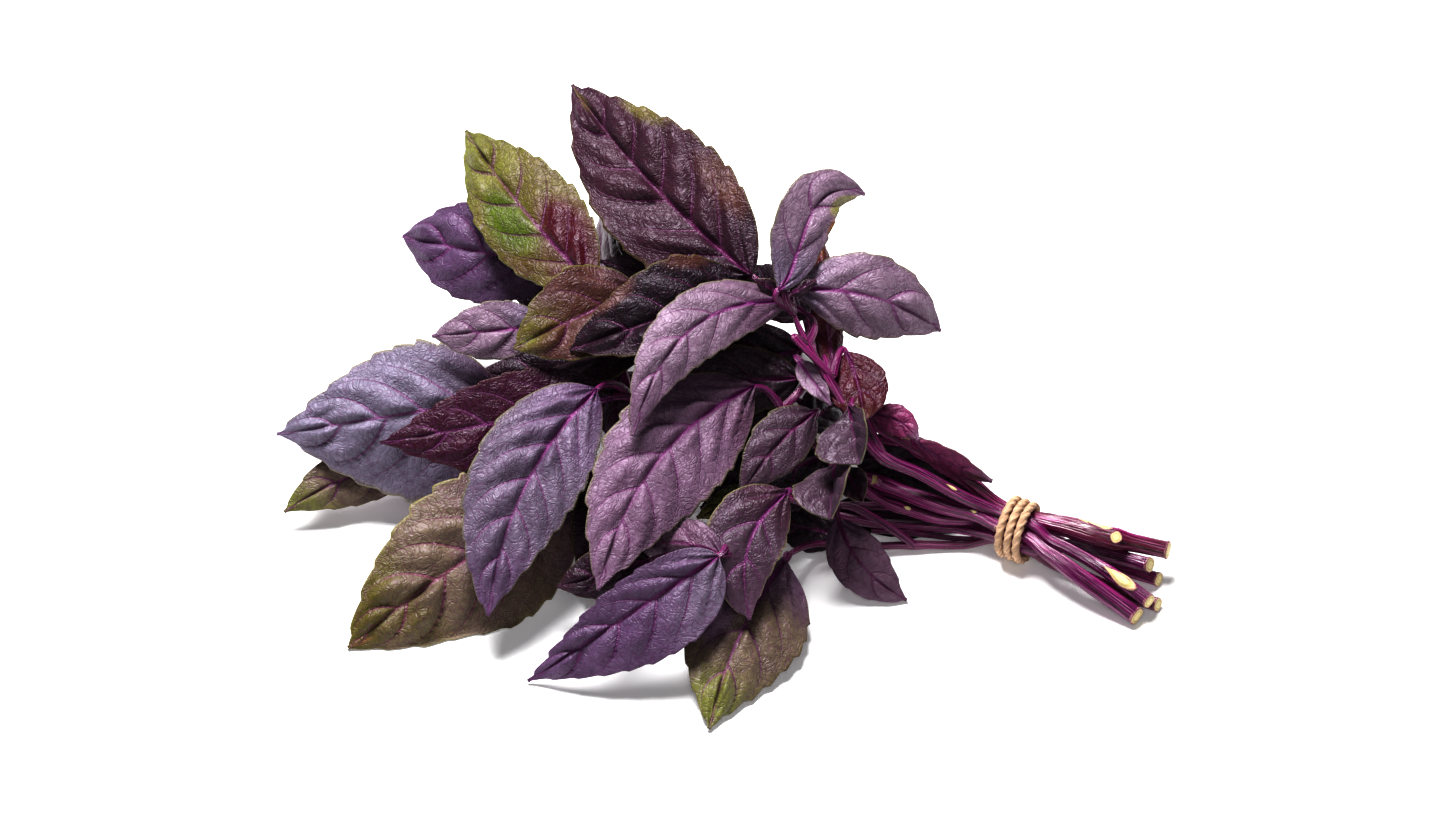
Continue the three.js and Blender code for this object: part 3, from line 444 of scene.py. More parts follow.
def blade(leaf, draw):
    """A leaf blade: a thin closed shell with a toothed margin, raised between its veins."""
    width, length = leaf["width"], np.linalg.norm(face_point(leaf["tip"]) - face_point(leaf["base"]))
    teeth = int(np.clip(round(length / TOOTH_SPACING), FEWEST_TEETH, MOST_TEETH))
    pitch = (TEETH_TO - TEETH_FROM) / teeth
    rows = np.concatenate([
        np.linspace(0, TEETH_FROM, ROWS_AT_BASE)[:-1],
        TEETH_FROM + pitch / ROWS_PER_TOOTH * np.arange(teeth * ROWS_PER_TOOTH),
        np.linspace(TEETH_TO, 1, ROWS_AT_TIP),
    ])
    columns = np.concatenate([-HALF_COLUMNS[:0:-1], HALF_COLUMNS])
    along, across = np.meshgrid(rows, columns, indexing="ij")
    outward, left = np.abs(across), across < 0

    # Teeth point forward: a long swell and a short notch, out of step on the two sides.
    count = (along - TEETH_FROM) / pitch + np.where(left, LEFT_TOOTH_SHIFT, 0)
    share = count - np.floor(count)
    which = np.clip(np.floor(count), -1, teeth + 1).astype(int)
    vigour = draw.uniform(*TOOTH_VIGOUR, (2, teeth + 3))[left.astype(int), which]
    swell = np.where(share < TOOTH_SWELL, (share / TOOTH_SWELL) ** 0.8, (1 - share) / TOOTH_NOTCH)
    ends = smooth_step(along, TEETH_FROM - 0.02, TEETH_FROM + 0.08) * smooth_step(1 - along, 0.0, 0.05)
    tooth = (swell * vigour - TOOTH_LEVEL) * TOOTH_DEPTH * width * ends

    points, tangents, normals, sides = midrib(leaf, rows)
    lop = 1 + leaf["lop"] * np.sign(across)
    half = half_width(leaf, along) * lop
    reach = half * outward + tooth * outward ** 5
    reach = np.maximum(reach, outward * LEAST_HALF_WIDTH)

    # Veins run out and forward; the blade swells between them.
    veins = int(np.clip(round(length / VEIN_GAP), FEWEST_VEINS, MOST_VEINS))
    slope = VEIN_LEAN + VEIN_SLOPE * width / length
    lean = slope * (outward * (1 - VEIN_BEND) + VEIN_BEND * outward ** 3)
    start = (along - lean) / (1 - VEIN_CURVE * lean) + np.where(left, LEFT_VEIN_SHIFT, 0)
    phase = veins * np.sign(start) * np.abs(start) ** 0.92 * 1.05
    cell = np.floor(phase).astype(int)
    share = phase - cell
    swelling = share ** 0.6 * (1 - share) / PILLOW_TOP
    fade = (smooth_step(outward, 0.0, 0.12) * (1 - 0.95 * smooth_step(outward, 0.35, 0.95))
            * (1 - smooth_step(along, 0.78, 1)))
    uneven = draw.uniform(*PILLOW_VIGOUR, (2, 40))[left.astype(int), cell + 20]
    uneven = uneven * (1 + 0.4 * patchy(along * length, outward * width + 40 * left, 6.0, draw))
    lift = leaf["quilt"] * width * swelling * fade * uneven
    wide = reach * np.where(left, -1, 1)
    creases = patchy(along * length, wide, CREASE_CELL, draw) * CREASE_HEIGHT
    bumps = patchy(along * length, wide, BUMP_CELL, draw) * BUMP_HEIGHT * width
    lift += creases * smooth_step(outward, 0.02, 0.2)
    lift += bumps * smooth_step(outward, 0.1, 0.6)
    beat = WAVE_HEIGHT * width * outward ** 2.4 * smooth_step(along, 0.02, 0.25) * (1 - along) ** 0.3
    waves = draw.uniform(*WAVES) * along + np.where(left, draw.uniform(), draw.uniform())
    lift += beat * np.sin(2 * math.pi * waves)
    lift -= EDGE_DROP * outward ** 9

    fold = math.radians(leaf["fold"])
    middle = (points[:, None] + sides[:, None] * (np.sign(across) * reach * math.cos(fold))[..., None]
              + normals[:, None] * (reach * math.sin(fold) + lift)[..., None])
    rib = (1 - along) ** 0.8
    ridge = np.exp(-(wide / RIB_HALF_WIDTH) ** 2) * rib
    up = BLADE_THICKNESS / 2 + RIB_ABOVE * ridge
    down = BLADE_THICKNESS / 2 + RIB_BELOW * ridge
    middle[..., 2] = np.maximum(middle[..., 2], FLOOR_GAP + down)
    top = middle + normals[:, None] * up[..., None]
    bottom = middle - normals[:, None] * down[..., None]
    top[..., 2] = np.maximum(top[..., 2], FLOOR_GAP)
    bottom[..., 2] = np.maximum(bottom[..., 2], FLOOR_GAP)

    corners = np.concatenate([top.reshape(-1, 3), bottom.reshape(-1, 3)])
    colors = blade_colors(leaf, along, across, along * length, wide, draw)
    rib_share = wide / (0.62 * (1 - 0.82 * along) + 0.03)
    lay = np.stack([phase, rib_share, outward], -1).reshape(-1, 3)
    flat = np.stack([along * length, wide], -1).reshape(-1, 2) * FLAT_SCALE + draw.uniform(0, 9, 2)
    margin, vein = leaf["tones"][3:]
    return dict(corners=corners, faces=shell_faces(*along.shape), lay=np.tile(lay, (2, 1)),
                flat=np.tile(flat, (2, 1)), under=np.repeat([0.0, 1.0], along.size),
                ahead=np.tile(along.ravel(), 2), blade_color=np.tile(colors.reshape(-1, 3), (2, 1)),
                vein_color=np.tile(pigment(vein), (len(corners), 1)),
                margin_color=np.tile(pigment(margin), (len(corners), 1)))


def blade_colors(leaf, along, across, x, y, draw):
    """The blade's colour at each point: its base, middle, tip and margin, with soft patches."""
    base, blade_tone, tip, margin, _ = (pigment(tone) for tone in leaf["tones"])
    drift = patchy(x, y, 11, draw) * 0.16
    # Towards the stalk the blade turns to its darker base pigment: partly the leaf's own colour and partly
    # painted shade where the leaves crowd together.
    colors = blend_colors(base, blade_tone, smooth_step(along + drift, 0.0, 0.4))
    colors = blend_colors(colors, tip, smooth_step(along + drift, 0.62, 1.0))
    rim = smooth_step(np.abs(across) + drift * 0.2, 0.9, 1.0) * MARGIN_TINT
    colors = blend_colors(colors, margin, rim)
    for place, side, size, tone in leaf["patches"]:
        gap = np.hypot((along - place) / size, (across - side) / (2 * size)) + drift
        colors = blend_colors(colors, pigment(tone), 1 - smooth_step(gap, 0.35, 1.0))
    return colors * (1 + 0.16 * patchy(x, y, 5, draw))[..., None]


def shell_faces(rows, columns):
    """The quads of a closed shell between two grids: upper, lower and rim."""
    grid = np.arange(rows * columns).reshape(rows, columns)
    a, b, c, d = grid[:-1, :-1], grid[:-1, 1:], grid[1:, 1:], grid[1:, :-1]
    faces = [np.stack([a, b, c, d], -1).reshape(-1, 4)]
    faces.append(faces[0][:, ::-1] + rows * columns)
    rim = np.concatenate([grid[0, :], grid[1:, -1], grid[-1, -2::-1], grid[-2:0:-1, 0]])
    rim_under = rim + rows * columns
    faces.append(np.stack([rim, rim_under, np.roll(rim_under, -1), np.roll(rim, -1)], -1))
    return np.concatenate(faces)


# ---- Stems, stalks and twine as lines to sweep along

def stem_line(stem):
    y, z = stem["tied"][0], TIE_CENTRE_HEIGHT + stem["tied"][1]
    held = [(TIE_NEAR_CUT_ENDS, y, z), (TIE_NEAR_LEAVES, y, z)]
    bare, route = map(face_point, stem["bare"]), map(face_point, stem["route"])
    return centripetal([*bare, *stem["tail"], *held, *route])


def stem_radii(stem, line, shares):
    """Thick behind the tie, held in by it, thin at the tip, and swollen where leaves grow."""
    tied, full, tip = stem["radii"]
    behind_tie = np.array([*stem["tail_radii"], tied])
    whole = line_length(line)
    tie_at = np.linalg.norm(line[0] - (0, 0, TIE_CENTRE_HEIGHT)) / whole
    past = np.clip((shares - tie_at) / (1 - tie_at), 0, 1)
    filled = tied + (full - tied) * smooth_step(past, STEM_FILLS_FROM, STEM_FULL_AT)
    behind = np.clip(shares / tie_at, 0, 1) * (len(behind_tie) - 1)
    stretch = np.minimum(behind.astype(int), len(behind_tie) - 2)
    first, last = behind_tie[stretch], behind_tie[stretch + 1]
    tail = first + (last - first) * smooth_step(behind - stretch, 0, 1)
    ahead = filled + (tip * TIP_SHARE - filled) * past ** STEM_THINNING
    plain = np.where(shares < tie_at, tail, ahead) * (1 - TIP_TAPER * smooth_step(shares, 0.93, 1))
    knots = [leaf[1] for leaf in stem["leaves"] if leaf[1] < SWOLLEN_BELOW]
    for knot in knots + [shoot["at"] for shoot in stem.get("stubs", ())]:
        plain = plain * (1 + SWELLING * np.exp(-((shares - knot) * whole / SWELLING_REACH) ** 2))
    return plain


def petiole_line(leaf, root):
    """The stalk of a leaf, from inside the stem and on under the start of its midrib."""
    along, depths, end_radii = np.transpose(STALK_UNDER_MIDRIB)
    points, tangents, normals, _ = midrib(leaf, [0.0, *along])
    bend = np.linalg.norm(root - points[0]) * STALK_BEND
    elbow = points[0] - tangents[0] * bend
    elbow[2] = max(elbow[2], STALK_ROOT)
    t = np.linspace(0, 1, STALK_POINTS)[:, None]
    reach = (1 - t) ** 2 * root + 2 * t * (1 - t) * elbow + t ** 2 * points[0]
    line = np.vstack([reach, points[1:] - normals[1:] * depths[:, None]])
    line[:, 2] = np.maximum(line[:, 2], 1.0)
    return line, np.concatenate([np.linspace(STALK_ROOT, STALK_END, STALK_POINTS), end_radii])


def twine_line():
    """Close turns round the stems, with both ends thinned out and tucked in underneath."""
    turns = np.linspace(0, TWINE_TURNS, TWINE_POINTS) - TWINE_TURNS_TO_UNDERSIDE
    angle = 2 * math.pi * turns - math.pi / 2
    line = np.stack([turns * TWINE_PITCH, TWINE_COIL_RADIUS * np.cos(angle),
                     TIE_CENTRE_HEIGHT + TWINE_COIL_RADIUS * np.sin(angle)], -1)
    line[:, 2] = np.maximum(line[:, 2], TWINE_RADIUS)
    to_end = smooth_step(np.minimum(turns - turns[0], turns[-1] - turns), 0, TWINE_END_TURN)
    return line, TWINE_RADIUS * TWINE_PLY_SHARE * (TWINE_END_SHARE + (1 - TWINE_END_SHARE) * to_end)


# ---- Meshes

def new_object(name, data):
    thing = bpy.data.objects.new(name, data)
    bpy.context.scene.collection.objects.link(thing)
    return thing


def set_attribute(mesh, name, values):
    """A value at each corner of a mesh: one number, a colour by its name, or else a vector."""
    values = np.asarray(values, np.float32)
    kind, key = ("FLOAT", "value") if values.ndim == 1 else ("FLOAT_VECTOR", "vector")
    if name == "tint" or name.endswith("_color"):
        kind, key = "FLOAT_COLOR", "color"
        values = np.hstack([values, np.ones((len(values), 1), np.float32)])
    mesh.attributes.new(name, kind, "POINT").data.foreach_set(key, values.ravel())


def leaf_object(name, blades, material):
    """All blades of one stem as one mesh."""
    starts = np.cumsum([0] + [len(one["corners"]) for one in blades[:-1]])
    corners = np.concatenate([one["corners"] for one in blades]) * MM
    faces = np.concatenate([one["faces"] + start for one, start in zip(blades, starts)])
    mesh = bpy.data.meshes.new(name)
    mesh.from_pydata(corners.tolist(), [], faces.tolist())
    mesh.materials.append(material)
    mesh.shade_smooth()
    for key in ("lay", "under", "ahead", "blade_color", "vein_color", "margin_color"):
        set_attribute(mesh, key, np.concatenate([one[key] for one in blades]))
    flat = np.concatenate([one["flat"] for one in blades])
    corner_of_loop = np.zeros(len(mesh.loops), np.int32)
    mesh.loops.foreach_get("vertex_index", corner_of_loop)
    mesh.uv_layers.new(name="flat").data.foreach_set("uv", flat[corner_of_loop].astype(np.float32).ravel())
    return new_object(name, mesh)


def line_object(name, lines):
    """Lines to sweep along: a list of (points, radii, first colour, last colour)."""
    corners, edges, radii, tints = [], [], [], []
    for points, thickness, first, last in lines:
        start = len(corners)
        corners += (np.asarray(points) * MM).tolist()
        edges += [(at, at + 1) for at in range(start, start + len(points) - 1)]
        radii += (np.asarray(thickness) * MM).tolist()
        tints += blend_colors(pigment(first), pigment(last), np.linspace(0, 1, len(points))).tolist()
    mesh = bpy.data.meshes.new(name)
    mesh.from_pydata(corners, edges, [])
    set_attribute(mesh, "thickness", radii)
    set_attribute(mesh, "tint", tints)
    return new_object(name, mesh)


# ---- Node trees

class Tree:
    """A node tree with short ways to add nodes. A value is linked if it is a socket, or else set."""

    def __init__(self, tree):
        self.tree = tree

    def put(self, socket, value):
        if isinstance(value, bpy.types.NodeSocket):
            self.tree.links.new(value, socket)
        else:
            socket.default_value = value

    def add(self, kind, values=None, **settings):
        """The outputs of a new node, whose inputs are given by name or number."""
        node = self.tree.nodes.new(kind)
        for key, value in settings.items():
            setattr(node, key, value)
        for key, value in (values or {}).items():
            self.put(node.inputs[key], value)
        return node.outputs

    def math(self, operation, first, second=0.0):
        return self.add("ShaderNodeMath", {0: first, 1: second}, operation=operation)[0]

    def times(self, first, second):
        return self.math("MULTIPLY", first, second)

    def plus(self, first, second):
        return self.math("ADD", first, second)

    def vectors(self, operation, first, second, at=1):
        return self.add("ShaderNodeVectorMath", {0: first, at: second}, operation=operation)[0]

    def store(self, geometry, name, value, kind="FLOAT"):
        return self.add("GeometryNodeStoreNamedAttribute", {
            "Geometry": geometry, "Name": name, "Value": value}, data_type=kind)[0]

    def sweep(self, line, section, scale):
        return self.add("GeometryNodeCurveToMesh", {
            "Curve": line, "Profile Curve": section, "Scale": scale, "Fill Caps": True})[0]

    def closed(self, body, material):
        body = self.add("GeometryNodeSetMaterial", {"Geometry": body, "Material": material})[0]
        self.add("NodeGroupOutput", {0: body})
        return self.tree

    def named(self, name):
        return self.add("ShaderNodeAttribute", attribute_name=name)

    def spread(self, value, low, high, to_low=0.0, to_high=1.0, kind="SMOOTHSTEP"):
        return self.add("ShaderNodeMapRange", {0: value, 1: low, 2: high, 3: to_low, 4: to_high},
                        interpolation_type=kind)[0]

    def mix(self, share, first, second):
        return self.add("ShaderNodeMix", {"Factor": share, 6: first, 7: second}, data_type="RGBA")[2]

    def noise(self, place, scale, detail):
        return self.add("ShaderNodeTexNoise", {"Vector": place, "Scale": scale, "Detail": detail})

    def cells(self, place, scale):
        """How far each place is from the edge of its cell."""
        return self.add("ShaderNodeTexVoronoi", {"Vector": place, "Scale": scale},
                        feature="DISTANCE_TO_EDGE")[0]

    def streaks(self, stretch, scale, detail):
        """Noise drawn out along a swept line."""
        along = self.times(self.named("along")["Fac"], stretch)
        lift = self.add("ShaderNodeCombineXYZ", {2: along})[0]
        place = self.vectors("ADD", self.named("around")["Vector"], lift)
        return self.noise(place, scale, detail)[0]

    def bump(self, height, strength, distance):
        return self.add("ShaderNodeBump", {
            "Strength": strength, "Distance": distance, "Height": height})[0]


def geometry_tree(name, taken, settings):
    """A geometry tree and its inputs: the geometry it takes, its settings and a material."""
    group = bpy.data.node_groups.new(name, "GeometryNodeTree")
    face = group.interface
    face.new_socket(taken, in_out="INPUT", socket_type="NodeSocketGeometry")
    for label, value in settings.items():
        kind = "NodeSocketInt" if isinstance(value, int) else "NodeSocketFloat"
        face.new_socket(label, in_out="INPUT", socket_type=kind).default_value = value
    face.new_socket("Material", in_out="INPUT", socket_type="NodeSocketMaterial")
    face.new_socket("Geometry", in_out="OUTPUT", socket_type="NodeSocketGeometry")
    tree = Tree(group)
    return tree, tree.add("NodeGroupInput")


def sweep_tree():
    """Sweeps a lobed section along lines, at their thickness: four lobes make a stalk, and
    three twisted ones make a twine."""
    tree, given = geometry_tree("swept_stalk", "Lines", STALK_SECTION)
    spline = tree.add("GeometryNodeSplineParameter")
    line = tree.add("GeometryNodeMeshToCurve", {"Mesh": given["Lines"]})[0]
    twist = tree.times(spline["Length"], given["Twist"])
    line = tree.add("GeometryNodeSetCurveTilt", {"Curve": line, "Tilt": twist})[0]
    line = tree.store(line, "along", spline["Length"])

    ring = tree.add("GeometryNodeCurvePrimitiveCircle", {
        "Resolution": given["Sides"], "Radius": 1.0})[0]
    angle = tree.times(tree.times(spline["Factor"], given["Lobes"]), 2 * math.pi)
    lobe = tree.times(tree.math("COSINE", angle), given["Lobe height"])
    place = tree.add("GeometryNodeInputPosition")[0]
    lobed = tree.vectors("SCALE", place, tree.plus(lobe, 1.0), "Scale")
    ring = tree.add("GeometryNodeSetPosition", {"Geometry": ring, "Position": lobed})[0]
    ring = tree.store(ring, "around", place, "FLOAT_VECTOR")

    thickness = tree.add("GeometryNodeInputNamedAttribute", {"Name": "thickness"},
                         data_type="FLOAT")[0]
    body = tree.sweep(line, ring, thickness)
    body = tree.add("GeometryNodeSetShadeSmooth", {"Geometry": body})[0]
    body = tree.add("GeometryNodeRealizeInstances", {"Geometry": body})[0]
    return tree.closed(body, given["Material"])


def fuzz_tree():
    """Adds short curved fibres all over a twine, and keeps them above the floor."""
    tree, given = geometry_tree("twine_fuzz", "Twine", FUZZ)
    seed = given["Seed"]
    spots = tree.add("GeometryNodeDistributePointsOnFaces", {
        "Mesh": given["Twine"], "Density": given["Fibres per square metre"], "Seed": seed})
    arc = tree.add("GeometryNodeCurvePrimitiveBezierSegment", {
        "Resolution": 4, "Start": (0, 0, -0.05), "Start Handle": (0, 0, 0.25),
        "End Handle": (0.25, 0, 0.5), "End": (0.75, 0.1, 0.42)})[0]
    section = tree.add("GeometryNodeCurvePrimitiveCircle", {"Resolution": 3, "Radius": 1.0})[0]
    thin = tree.math("DIVIDE", given["Thickness"], given["Length"])
    fibre = tree.sweep(arc, section, thin)
    spin = tree.add("FunctionNodeRandomValue", {
        "Min": (0, 0, -math.pi), "Max": (0, 0, math.pi), "Seed": seed}, data_type="FLOAT_VECTOR")[0]
    turned = tree.add("FunctionNodeRotateRotation", {
        "Rotation": spots["Rotation"], "Rotate By": spin}, rotation_space="LOCAL")[0]
    sizes = tree.add("FunctionNodeRandomValue", {2: 0.35, 3: 1.0, "Seed": seed}, data_type="FLOAT")[1]
    fibres = tree.add("GeometryNodeInstanceOnPoints", {
        "Points": spots["Points"], "Instance": fibre, "Rotation": turned,
        "Scale": tree.times(sizes, given["Length"])})[0]
    joined = tree.tree.nodes.new("GeometryNodeJoinGeometry")
    tree.put(joined.inputs[0], fibres)
    tree.put(joined.inputs[0], given["Twine"])
    body = tree.add("GeometryNodeRealizeInstances", {"Geometry": joined.outputs[0]})[0]
    above = tree.vectors("MAXIMUM", tree.add("GeometryNodeInputPosition")[0], (-1, -1, 0))
    body = tree.add("GeometryNodeSetPosition", {"Geometry": body, "Position": above})[0]
    return tree.closed(body, given["Material"])


def grown(thing, tree, settings):
    """The plain mesh that a geometry tree makes of an object."""
    modifier = thing.modifiers.new("grow", "NODES")
    modifier.node_group = tree
    for item in tree.interface.items_tree:
        if item.in_out == "INPUT" and item.name in settings:
            modifier[item.identifier] = settings[item.name]
    bpy.context.view_layer.update()
    ready = thing.evaluated_get(bpy.context.evaluated_depsgraph_get())
    mesh = bpy.data.meshes.new_from_object(ready)
    mesh.name = thing.name
    thing.modifiers.clear()
    thing.data = mesh
    return thing


# ---- Finishes

def new_material(name):
    material = bpy.data.materials.new(name)
    material.use_nodes = True
    tree = material.node_tree
    tree.nodes.clear()
    skin = tree.nodes.new("ShaderNodeBsdfPrincipled")
    output = tree.nodes.new("ShaderNodeOutputMaterial")
    tree.links.new(skin.outputs[0], output.inputs["Surface"])
    return material, Tree(tree), skin


def rgba(name):
    return (*pigment(name), 1.0)


def dress(tree, skin, values):
    """Sets or links the inputs of a skin."""
    for name, value in values.items():
        tree.put(skin.inputs[name], value)


def leaf_material():
    """Leaf skin: midrib and side veins, a fine net between them, and a satin sheen."""
    material, tree, skin = new_material("basil_leaf_skin")
    phase, from_rib, outward = tree.add("ShaderNodeSeparateXYZ", {0: tree.named("lay")["Vector"]})
    flat = tree.add("ShaderNodeUVMap", uv_map="flat")[0]
    bent = tree.mix(0.06, flat, tree.noise(flat, 22.0, 1.0)["Color"])

    nearest = tree.math("ABSOLUTE", tree.math("SUBTRACT", phase, tree.math("ROUND", phase)))
    thin = tree.spread(outward, 0.0, 1.0, 0.05, 0.018, "LINEAR")
    side_vein = tree.spread(tree.math("DIVIDE", nearest, thin), 0.5, 1.3, 1.0, 0.0)
    side_vein = tree.times(side_vein, tree.spread(outward, 0.55, 0.97, 1.0, 0.15))
    midrib_line = tree.spread(tree.math("ABSOLUTE", from_rib), 0.8, 1.25, 1.0, 0.0)
    net, fine = tree.cells(bent, 52.0), tree.cells(bent, 120.0)
    grain = tree.noise(flat, 60.0, 4.0)[0]

    vein_color = tree.named("vein_color")["Color"]
    mottle = tree.spread(grain, 0.3, 0.7, 0.82, 1.16, "LINEAR")
    shade = tree.vectors("SCALE", tree.named("blade_color")["Color"], mottle, "Scale")
    # The net lines and the side veins are darkened towards vein_shadow: partly the veins' own colour and
    # partly painted shade in their grooves.
    dim = tree.mix(0.5, vein_color, rgba("vein_shadow"))
    shade = tree.mix(tree.times(tree.spread(net, 0.0, 0.1, 1.0, 0.0), 0.34), shade, dim)
    side_vein_and_shade = tree.mix(0.2, vein_color, rgba("vein_shadow"))
    shade = tree.mix(tree.times(side_vein, 0.6), shade, side_vein_and_shade)
    strength = tree.spread(tree.named("ahead")["Fac"], 0.1, 0.95, 0.95, 0.3, "LINEAR")
    shade = tree.mix(tree.times(midrib_line, strength), shade, vein_color)
    margin = tree.spread(outward, 0.965, 0.99, 0.0, 0.5)
    shade = tree.mix(margin, shade, tree.named("margin_color")["Color"])
    pale = tree.times(tree.named("under")["Fac"], 0.25)

    rise = tree.times(tree.spread(net, 0.0, 0.2), 0.32)
    rise = tree.plus(rise, tree.times(tree.spread(fine, 0.0, 0.3), 0.3))
    rise = tree.plus(rise, tree.times(grain, 0.25))
    rise = tree.math("SUBTRACT", rise, tree.times(side_vein, 0.7))
    dress(tree, skin, {
        "Base Color": tree.mix(pale, shade, rgba("underside")),
        "Normal": tree.bump(rise, 0.6, 0.0004),
        "Roughness": tree.spread(grain, 0.3, 0.75, 0.4, 0.52, "LINEAR"),
        "Specular IOR Level": 0.5, "Specular Tint": rgba("gloss"),
        "Sheen Weight": 0.05, "Sheen Roughness": 0.4, "Sheen Tint": rgba("sheen"),
    })
    return material


def stalk_material():
    """Stem skin: long streaks, lighter on the ridges with painted light and highlights, and near black in
    the grooves as painted shade, with a gloss.
    """
    material, tree, skin = new_material("basil_stem_skin")
    broad, fine = tree.streaks(14.0, 3.0, 2.0), tree.streaks(9.0, 9.0, 2.0)
    # Near black where the streaks sink: painted shade in the grooves.
    painted_groove_shade = tree.spread(broad, 0.47, 0.34, 0.0, 0.85)
    color = tree.mix(painted_groove_shade, tree.named("tint")["Color"], rgba("painted_groove_shade"))
    # A lighter magenta where the streaks rise: partly the stem's own streaks and partly painted light.
    color = tree.mix(tree.spread(broad, 0.5, 0.64, 0.0, 0.85), color, rgba("streak"))
    # Pale lines on the fine raised streaks: painted highlights.
    color = tree.mix(tree.spread(fine, 0.52, 0.68, 0.0, 0.65), color, rgba("ridge"))
    height = tree.plus(broad, tree.times(fine, 0.5))
    dress(tree, skin, {"Base Color": color, "Normal": tree.bump(height, 0.6, 0.0007),
                       "Roughness": 0.22, "Specular IOR Level": 0.65})
    return material


def twine_material():
    """Jute: fibres in darker and paler streaks that follow the plies."""
    material, tree, skin = new_material("jute_twine")
    fibre = tree.streaks(120.0, 6.0, 4.0)
    color = tree.mix(tree.spread(fibre, 0.3, 0.7), rgba("jute_dark"), rgba("jute_light"))
    dress(tree, skin, {"Base Color": color, "Normal": tree.bump(fibre, 0.8, 0.0003),
                       "Roughness": 0.85})
    return material


def pith_material():
    """A cut stem's face: pale pith, a ring of vessels and a thin purple rind."""
    material, tree, skin = new_material("cut_stem_face")
    place = tree.add("ShaderNodeTexCoord")["Object"]
    grain = tree.noise(place, 2500.0, 3.0)[0]
    ramp = tree.tree.nodes.new("ShaderNodeValToRGB")
    tree.put(ramp.inputs[0], tree.named("radial")["Fac"])
    stops = ramp.color_ramp.elements
    stops[0].color = rgba("pith")
    stops[1].position, stops[1].color = 0.97, rgba("rind")
    for position, tone in ((0.45, "pith_pale"), (0.62, "vessels"), (0.8, "bark"), (0.9, "rind_pale")):
        stops.new(position).color = rgba(tone)
    color = tree.mix(tree.spread(grain, 0.35, 0.7, 0.0, 0.3), ramp.outputs[0], rgba("grain"))
    dress(tree, skin, {"Base Color": color, "Normal": tree.bump(grain, 0.4, 0.0002),
                       "Roughness": 0.6})
    return material


def cut_faces(name, ends, material):
    """Cut faces and torn scars: thin closed pucks, as (centre, direction out, direction of the
    length or None where it is round, half length, half width). A scar bends round its stem."""
    angle = 2 * np.pi * np.arange(CUT_SIDES) / CUT_SIDES
    bend = 1 + CUT_LOBE * np.cos(4 * angle)
    corners, faces, radial = [], [], []
    for centre, out, length, half_length, half_breadth in ends:
        slant = CUT_SLANT if length is None else 0
        out = unit(unit(np.asarray(out)) + slant * FACE_OUT)
        first = unit(np.cross(out, (0.1, 0.2, 1.0) if length is None else length))
        second = np.cross(out, first)
        taper = 0 if length is None else SCAR_TAPER
        breadth = half_breadth * np.cos(angle) * (1 - taper * np.sin(angle))
        flat = (np.outer(breadth * bend, first)
                + np.outer(half_length * np.sin(angle) * bend, second))
        begin = len(corners)
        for reach, rise in CUT_PROFILE:
            drop = 0 if length is None else (reach * breadth) ** 2 / (2 * half_breadth)
            lift = rise + slant * half_breadth * 0.7 - drop
            place = centre + reach * flat + np.outer(np.broadcast_to(lift, CUT_SIDES), out)
            if reach == 0:
                place = place[:1]
            corners += place.tolist()
            radial += [min(reach, 1.0)] * len(place)
        rings = [begin + 1 + CUT_SIDES * at for at in range(len(CUT_PROFILE) - 2)]
        last = len(corners) - 1
        for at in range(CUT_SIDES):
            after = (at + 1) % CUT_SIDES
            faces.append((begin, rings[0] + at, rings[0] + after))
            for inner, outer in zip(rings, rings[1:]):
                faces.append((inner + at, outer + at, outer + after, inner + after))
            faces.append((rings[-1] + at, last, rings[-1] + after))
    mesh = bpy.data.meshes.new(name)
    mesh.from_pydata((np.array(corners) * MM).tolist(), [], faces)
    set_attribute(mesh, "radial", radial)
    mesh.materials.append(material)
    mesh.shade_smooth()
    return new_object(name, mesh)


# ---- The bunch

leaf_skin, stem_skin, jute, pith = leaf_material(), stalk_material(), twine_material(), pith_material()
sweep, fuzz = sweep_tree(), fuzz_tree()

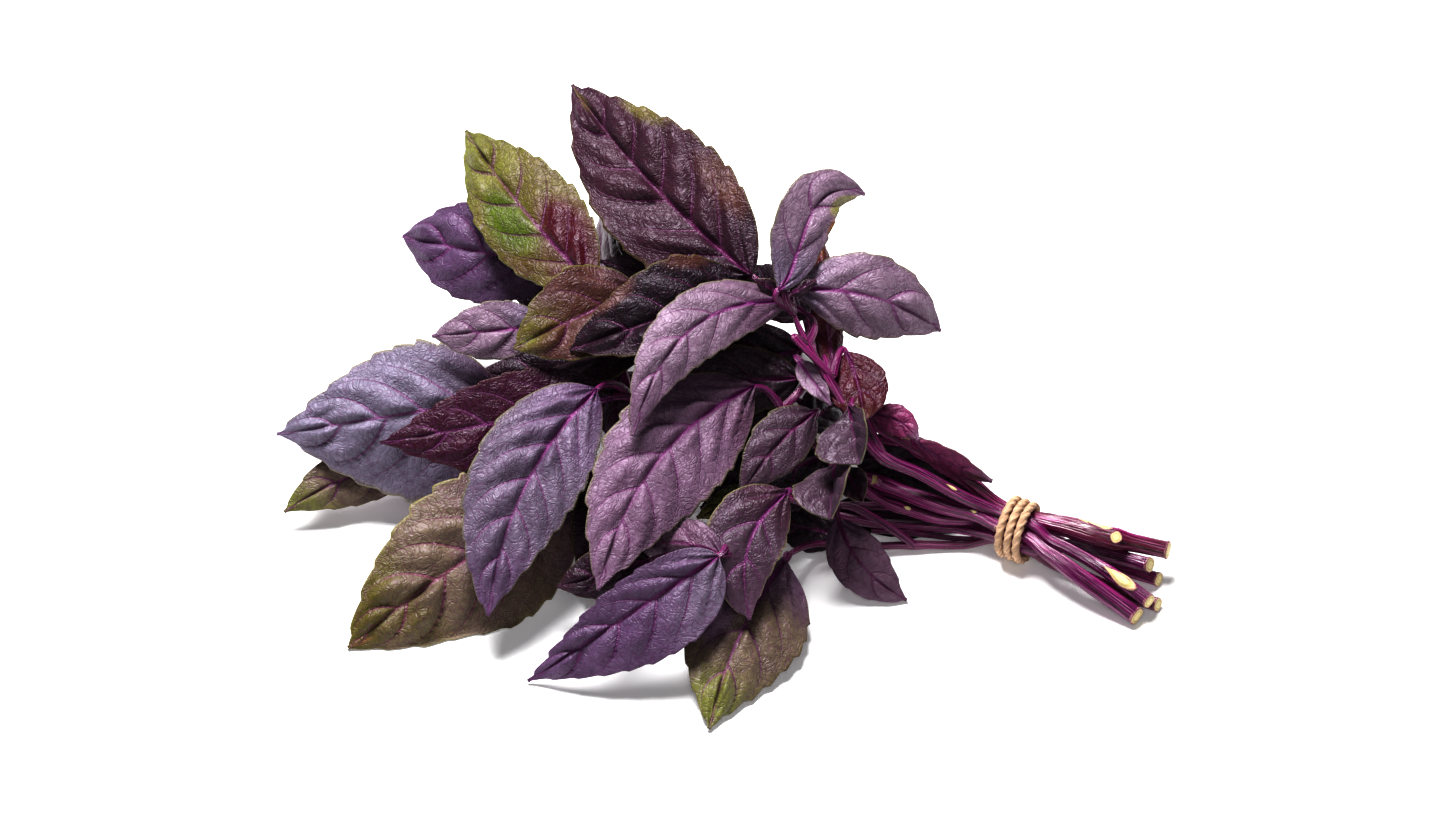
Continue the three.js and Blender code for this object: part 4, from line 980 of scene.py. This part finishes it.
for stem_name, stem in STEMS.items():
    label = stem_name.removesuffix("_stem")
    line = stem_line(stem)
    shares = np.linspace(0, 1, STEM_POINTS)
    thickness = stem_radii(stem, line, shares)
    first_tint, last_tint = stem["tints"]
    lines = [(along_line(line, shares), thickness, first_tint, last_tint)]
    roots = {"main": line}
    for branch in stem.get("branches", ()):
        root = along_line(line, [branch["at"]])
        route = centripetal(np.vstack([root, [face_point(place) for place in branch["route"]]]))
        roots[branch["name"]] = route
        lines.append((along_line(route, np.linspace(0, 1, BRANCH_POINTS)),
                      np.linspace(*branch["radii"], BRANCH_POINTS), last_tint, last_tint))
    blades = []
    for name, at, base, tip, width, finish, *options in stem["leaves"]:
        tones = FINISHES[finish].split()
        leaf = PLAIN_LEAF | dict(base=base, tip=tip, width=width, tones=tones) | dict(*options)
        blades.append(blade(leaf, np.random.default_rng(sum(name.encode()))))
        points, radii = petiole_line(leaf, along_line(roots[leaf["on"]], [at])[0])
        lines.append((points, radii, last_tint, tones[4]))
    cut_radius = stem["tail_radii"][0]
    ends = [(line[0], line[0] - line[4], None, cut_radius, cut_radius)]
    for at, up, half_length, half_breadth in stem.get("scars", ()):
        place, further = along_line(line, [at, at + 0.01])
        ahead = unit(further - place)
        out = unit(FACE_OUT + up * FACE_UP)
        out = unit(out - ahead * np.dot(out, ahead))
        deep = np.interp(at, shares, thickness) - SCAR_SINK
        ends.append((place + out * deep, out, place - further, half_length, half_breadth))
    for shoot in stem.get("stubs", ()):
        root, radius = along_line(line, [shoot["at"]])[0], shoot["radius"]
        lean = np.array(shoot["lean"], float)
        lines.append((np.linspace(root, root + lean, 4), np.full(4, radius), last_tint, last_tint))
        ends.append((root + lean, lean, None, radius, radius))

    leaves = leaf_object(label + "_leaves", blades, leaf_skin)
    stalks = grown(line_object(label + "_stalks", lines), sweep, {"Material": stem_skin})
    faces = cut_faces(label + "_cut_faces", ends, pith)
    for piece, slot in ((leaves, "leaf"), (stalks, "stem"), (faces, "stem")):
        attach(piece, "root")
        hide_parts(stem_name)

twine = line_object("twine_turns", [(*twine_line(), "jute", "jute")])
grown(twine, sweep, TWINE_SECTION | {"Material": jute})
grown(twine, fuzz, {"Material": jute})
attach(twine, "root")
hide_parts("twine_tie")

# ---- Floor, light and camera

floor_mesh = bpy.data.meshes.new("floor")
corners = [(x, y, 0) for x, y in ((-1, -1), (1, -1), (1, 1), (-1, 1))]
floor_mesh.from_pydata((np.array(corners) * FLOOR_REACH).tolist(), [], [(0, 1, 2, 3)])
floor = new_object("floor", floor_mesh)
floor_paint, floor_tree, floor_skin = new_material("pale_floor")
dress(floor_tree, floor_skin, {
    "Base Color": (0.9, 0.9, 0.9, 1), "Roughness": 0.9,
    "Emission Color": (1, 1, 1, 1), "Emission Strength": 0.18,
})
floor_mesh.materials.append(floor_paint)

world = bpy.data.worlds.new("studio")
world.use_nodes = True
background = world.node_tree.nodes["Background"].inputs
background["Color"].default_value = (1, 1, 1, 1)
background["Strength"].default_value = 0.06
bpy.context.scene.world = world


def aim(thing, place, direction):
    thing.location = place
    thing.rotation_mode = "QUATERNION"
    thing.rotation_quaternion = Vector(direction).to_track_quat("-Z", "Y")


def soft_light(name, place, size, power):
    lamp = bpy.data.lights.new(name, "AREA")
    lamp.shape, lamp.size, lamp.energy = "DISK", size, power
    aim(new_object(name, lamp), place, Vector(LIT_PLACE) - Vector(place))


soft_light("key_light", (-0.45, 0.2, 1.3), 0.6, 50)
soft_light("fill_light", (0.5, -0.9, 1.1), 0.8, 5)

camera = bpy.data.cameras.new("camera")
camera.sensor_width = SENSOR
camera.lens = SENSOR * FACE_REACH / FACE_WIDTH
camera.clip_end = 20
viewer = new_object("camera", camera)
aim(viewer, EYE * MM, -FACE_OUT)
bpy.context.scene.camera = viewer
bpy.context.scene.view_settings.view_transform = "Standard"
bpy.context.scene.view_settings.gamma = 0.7
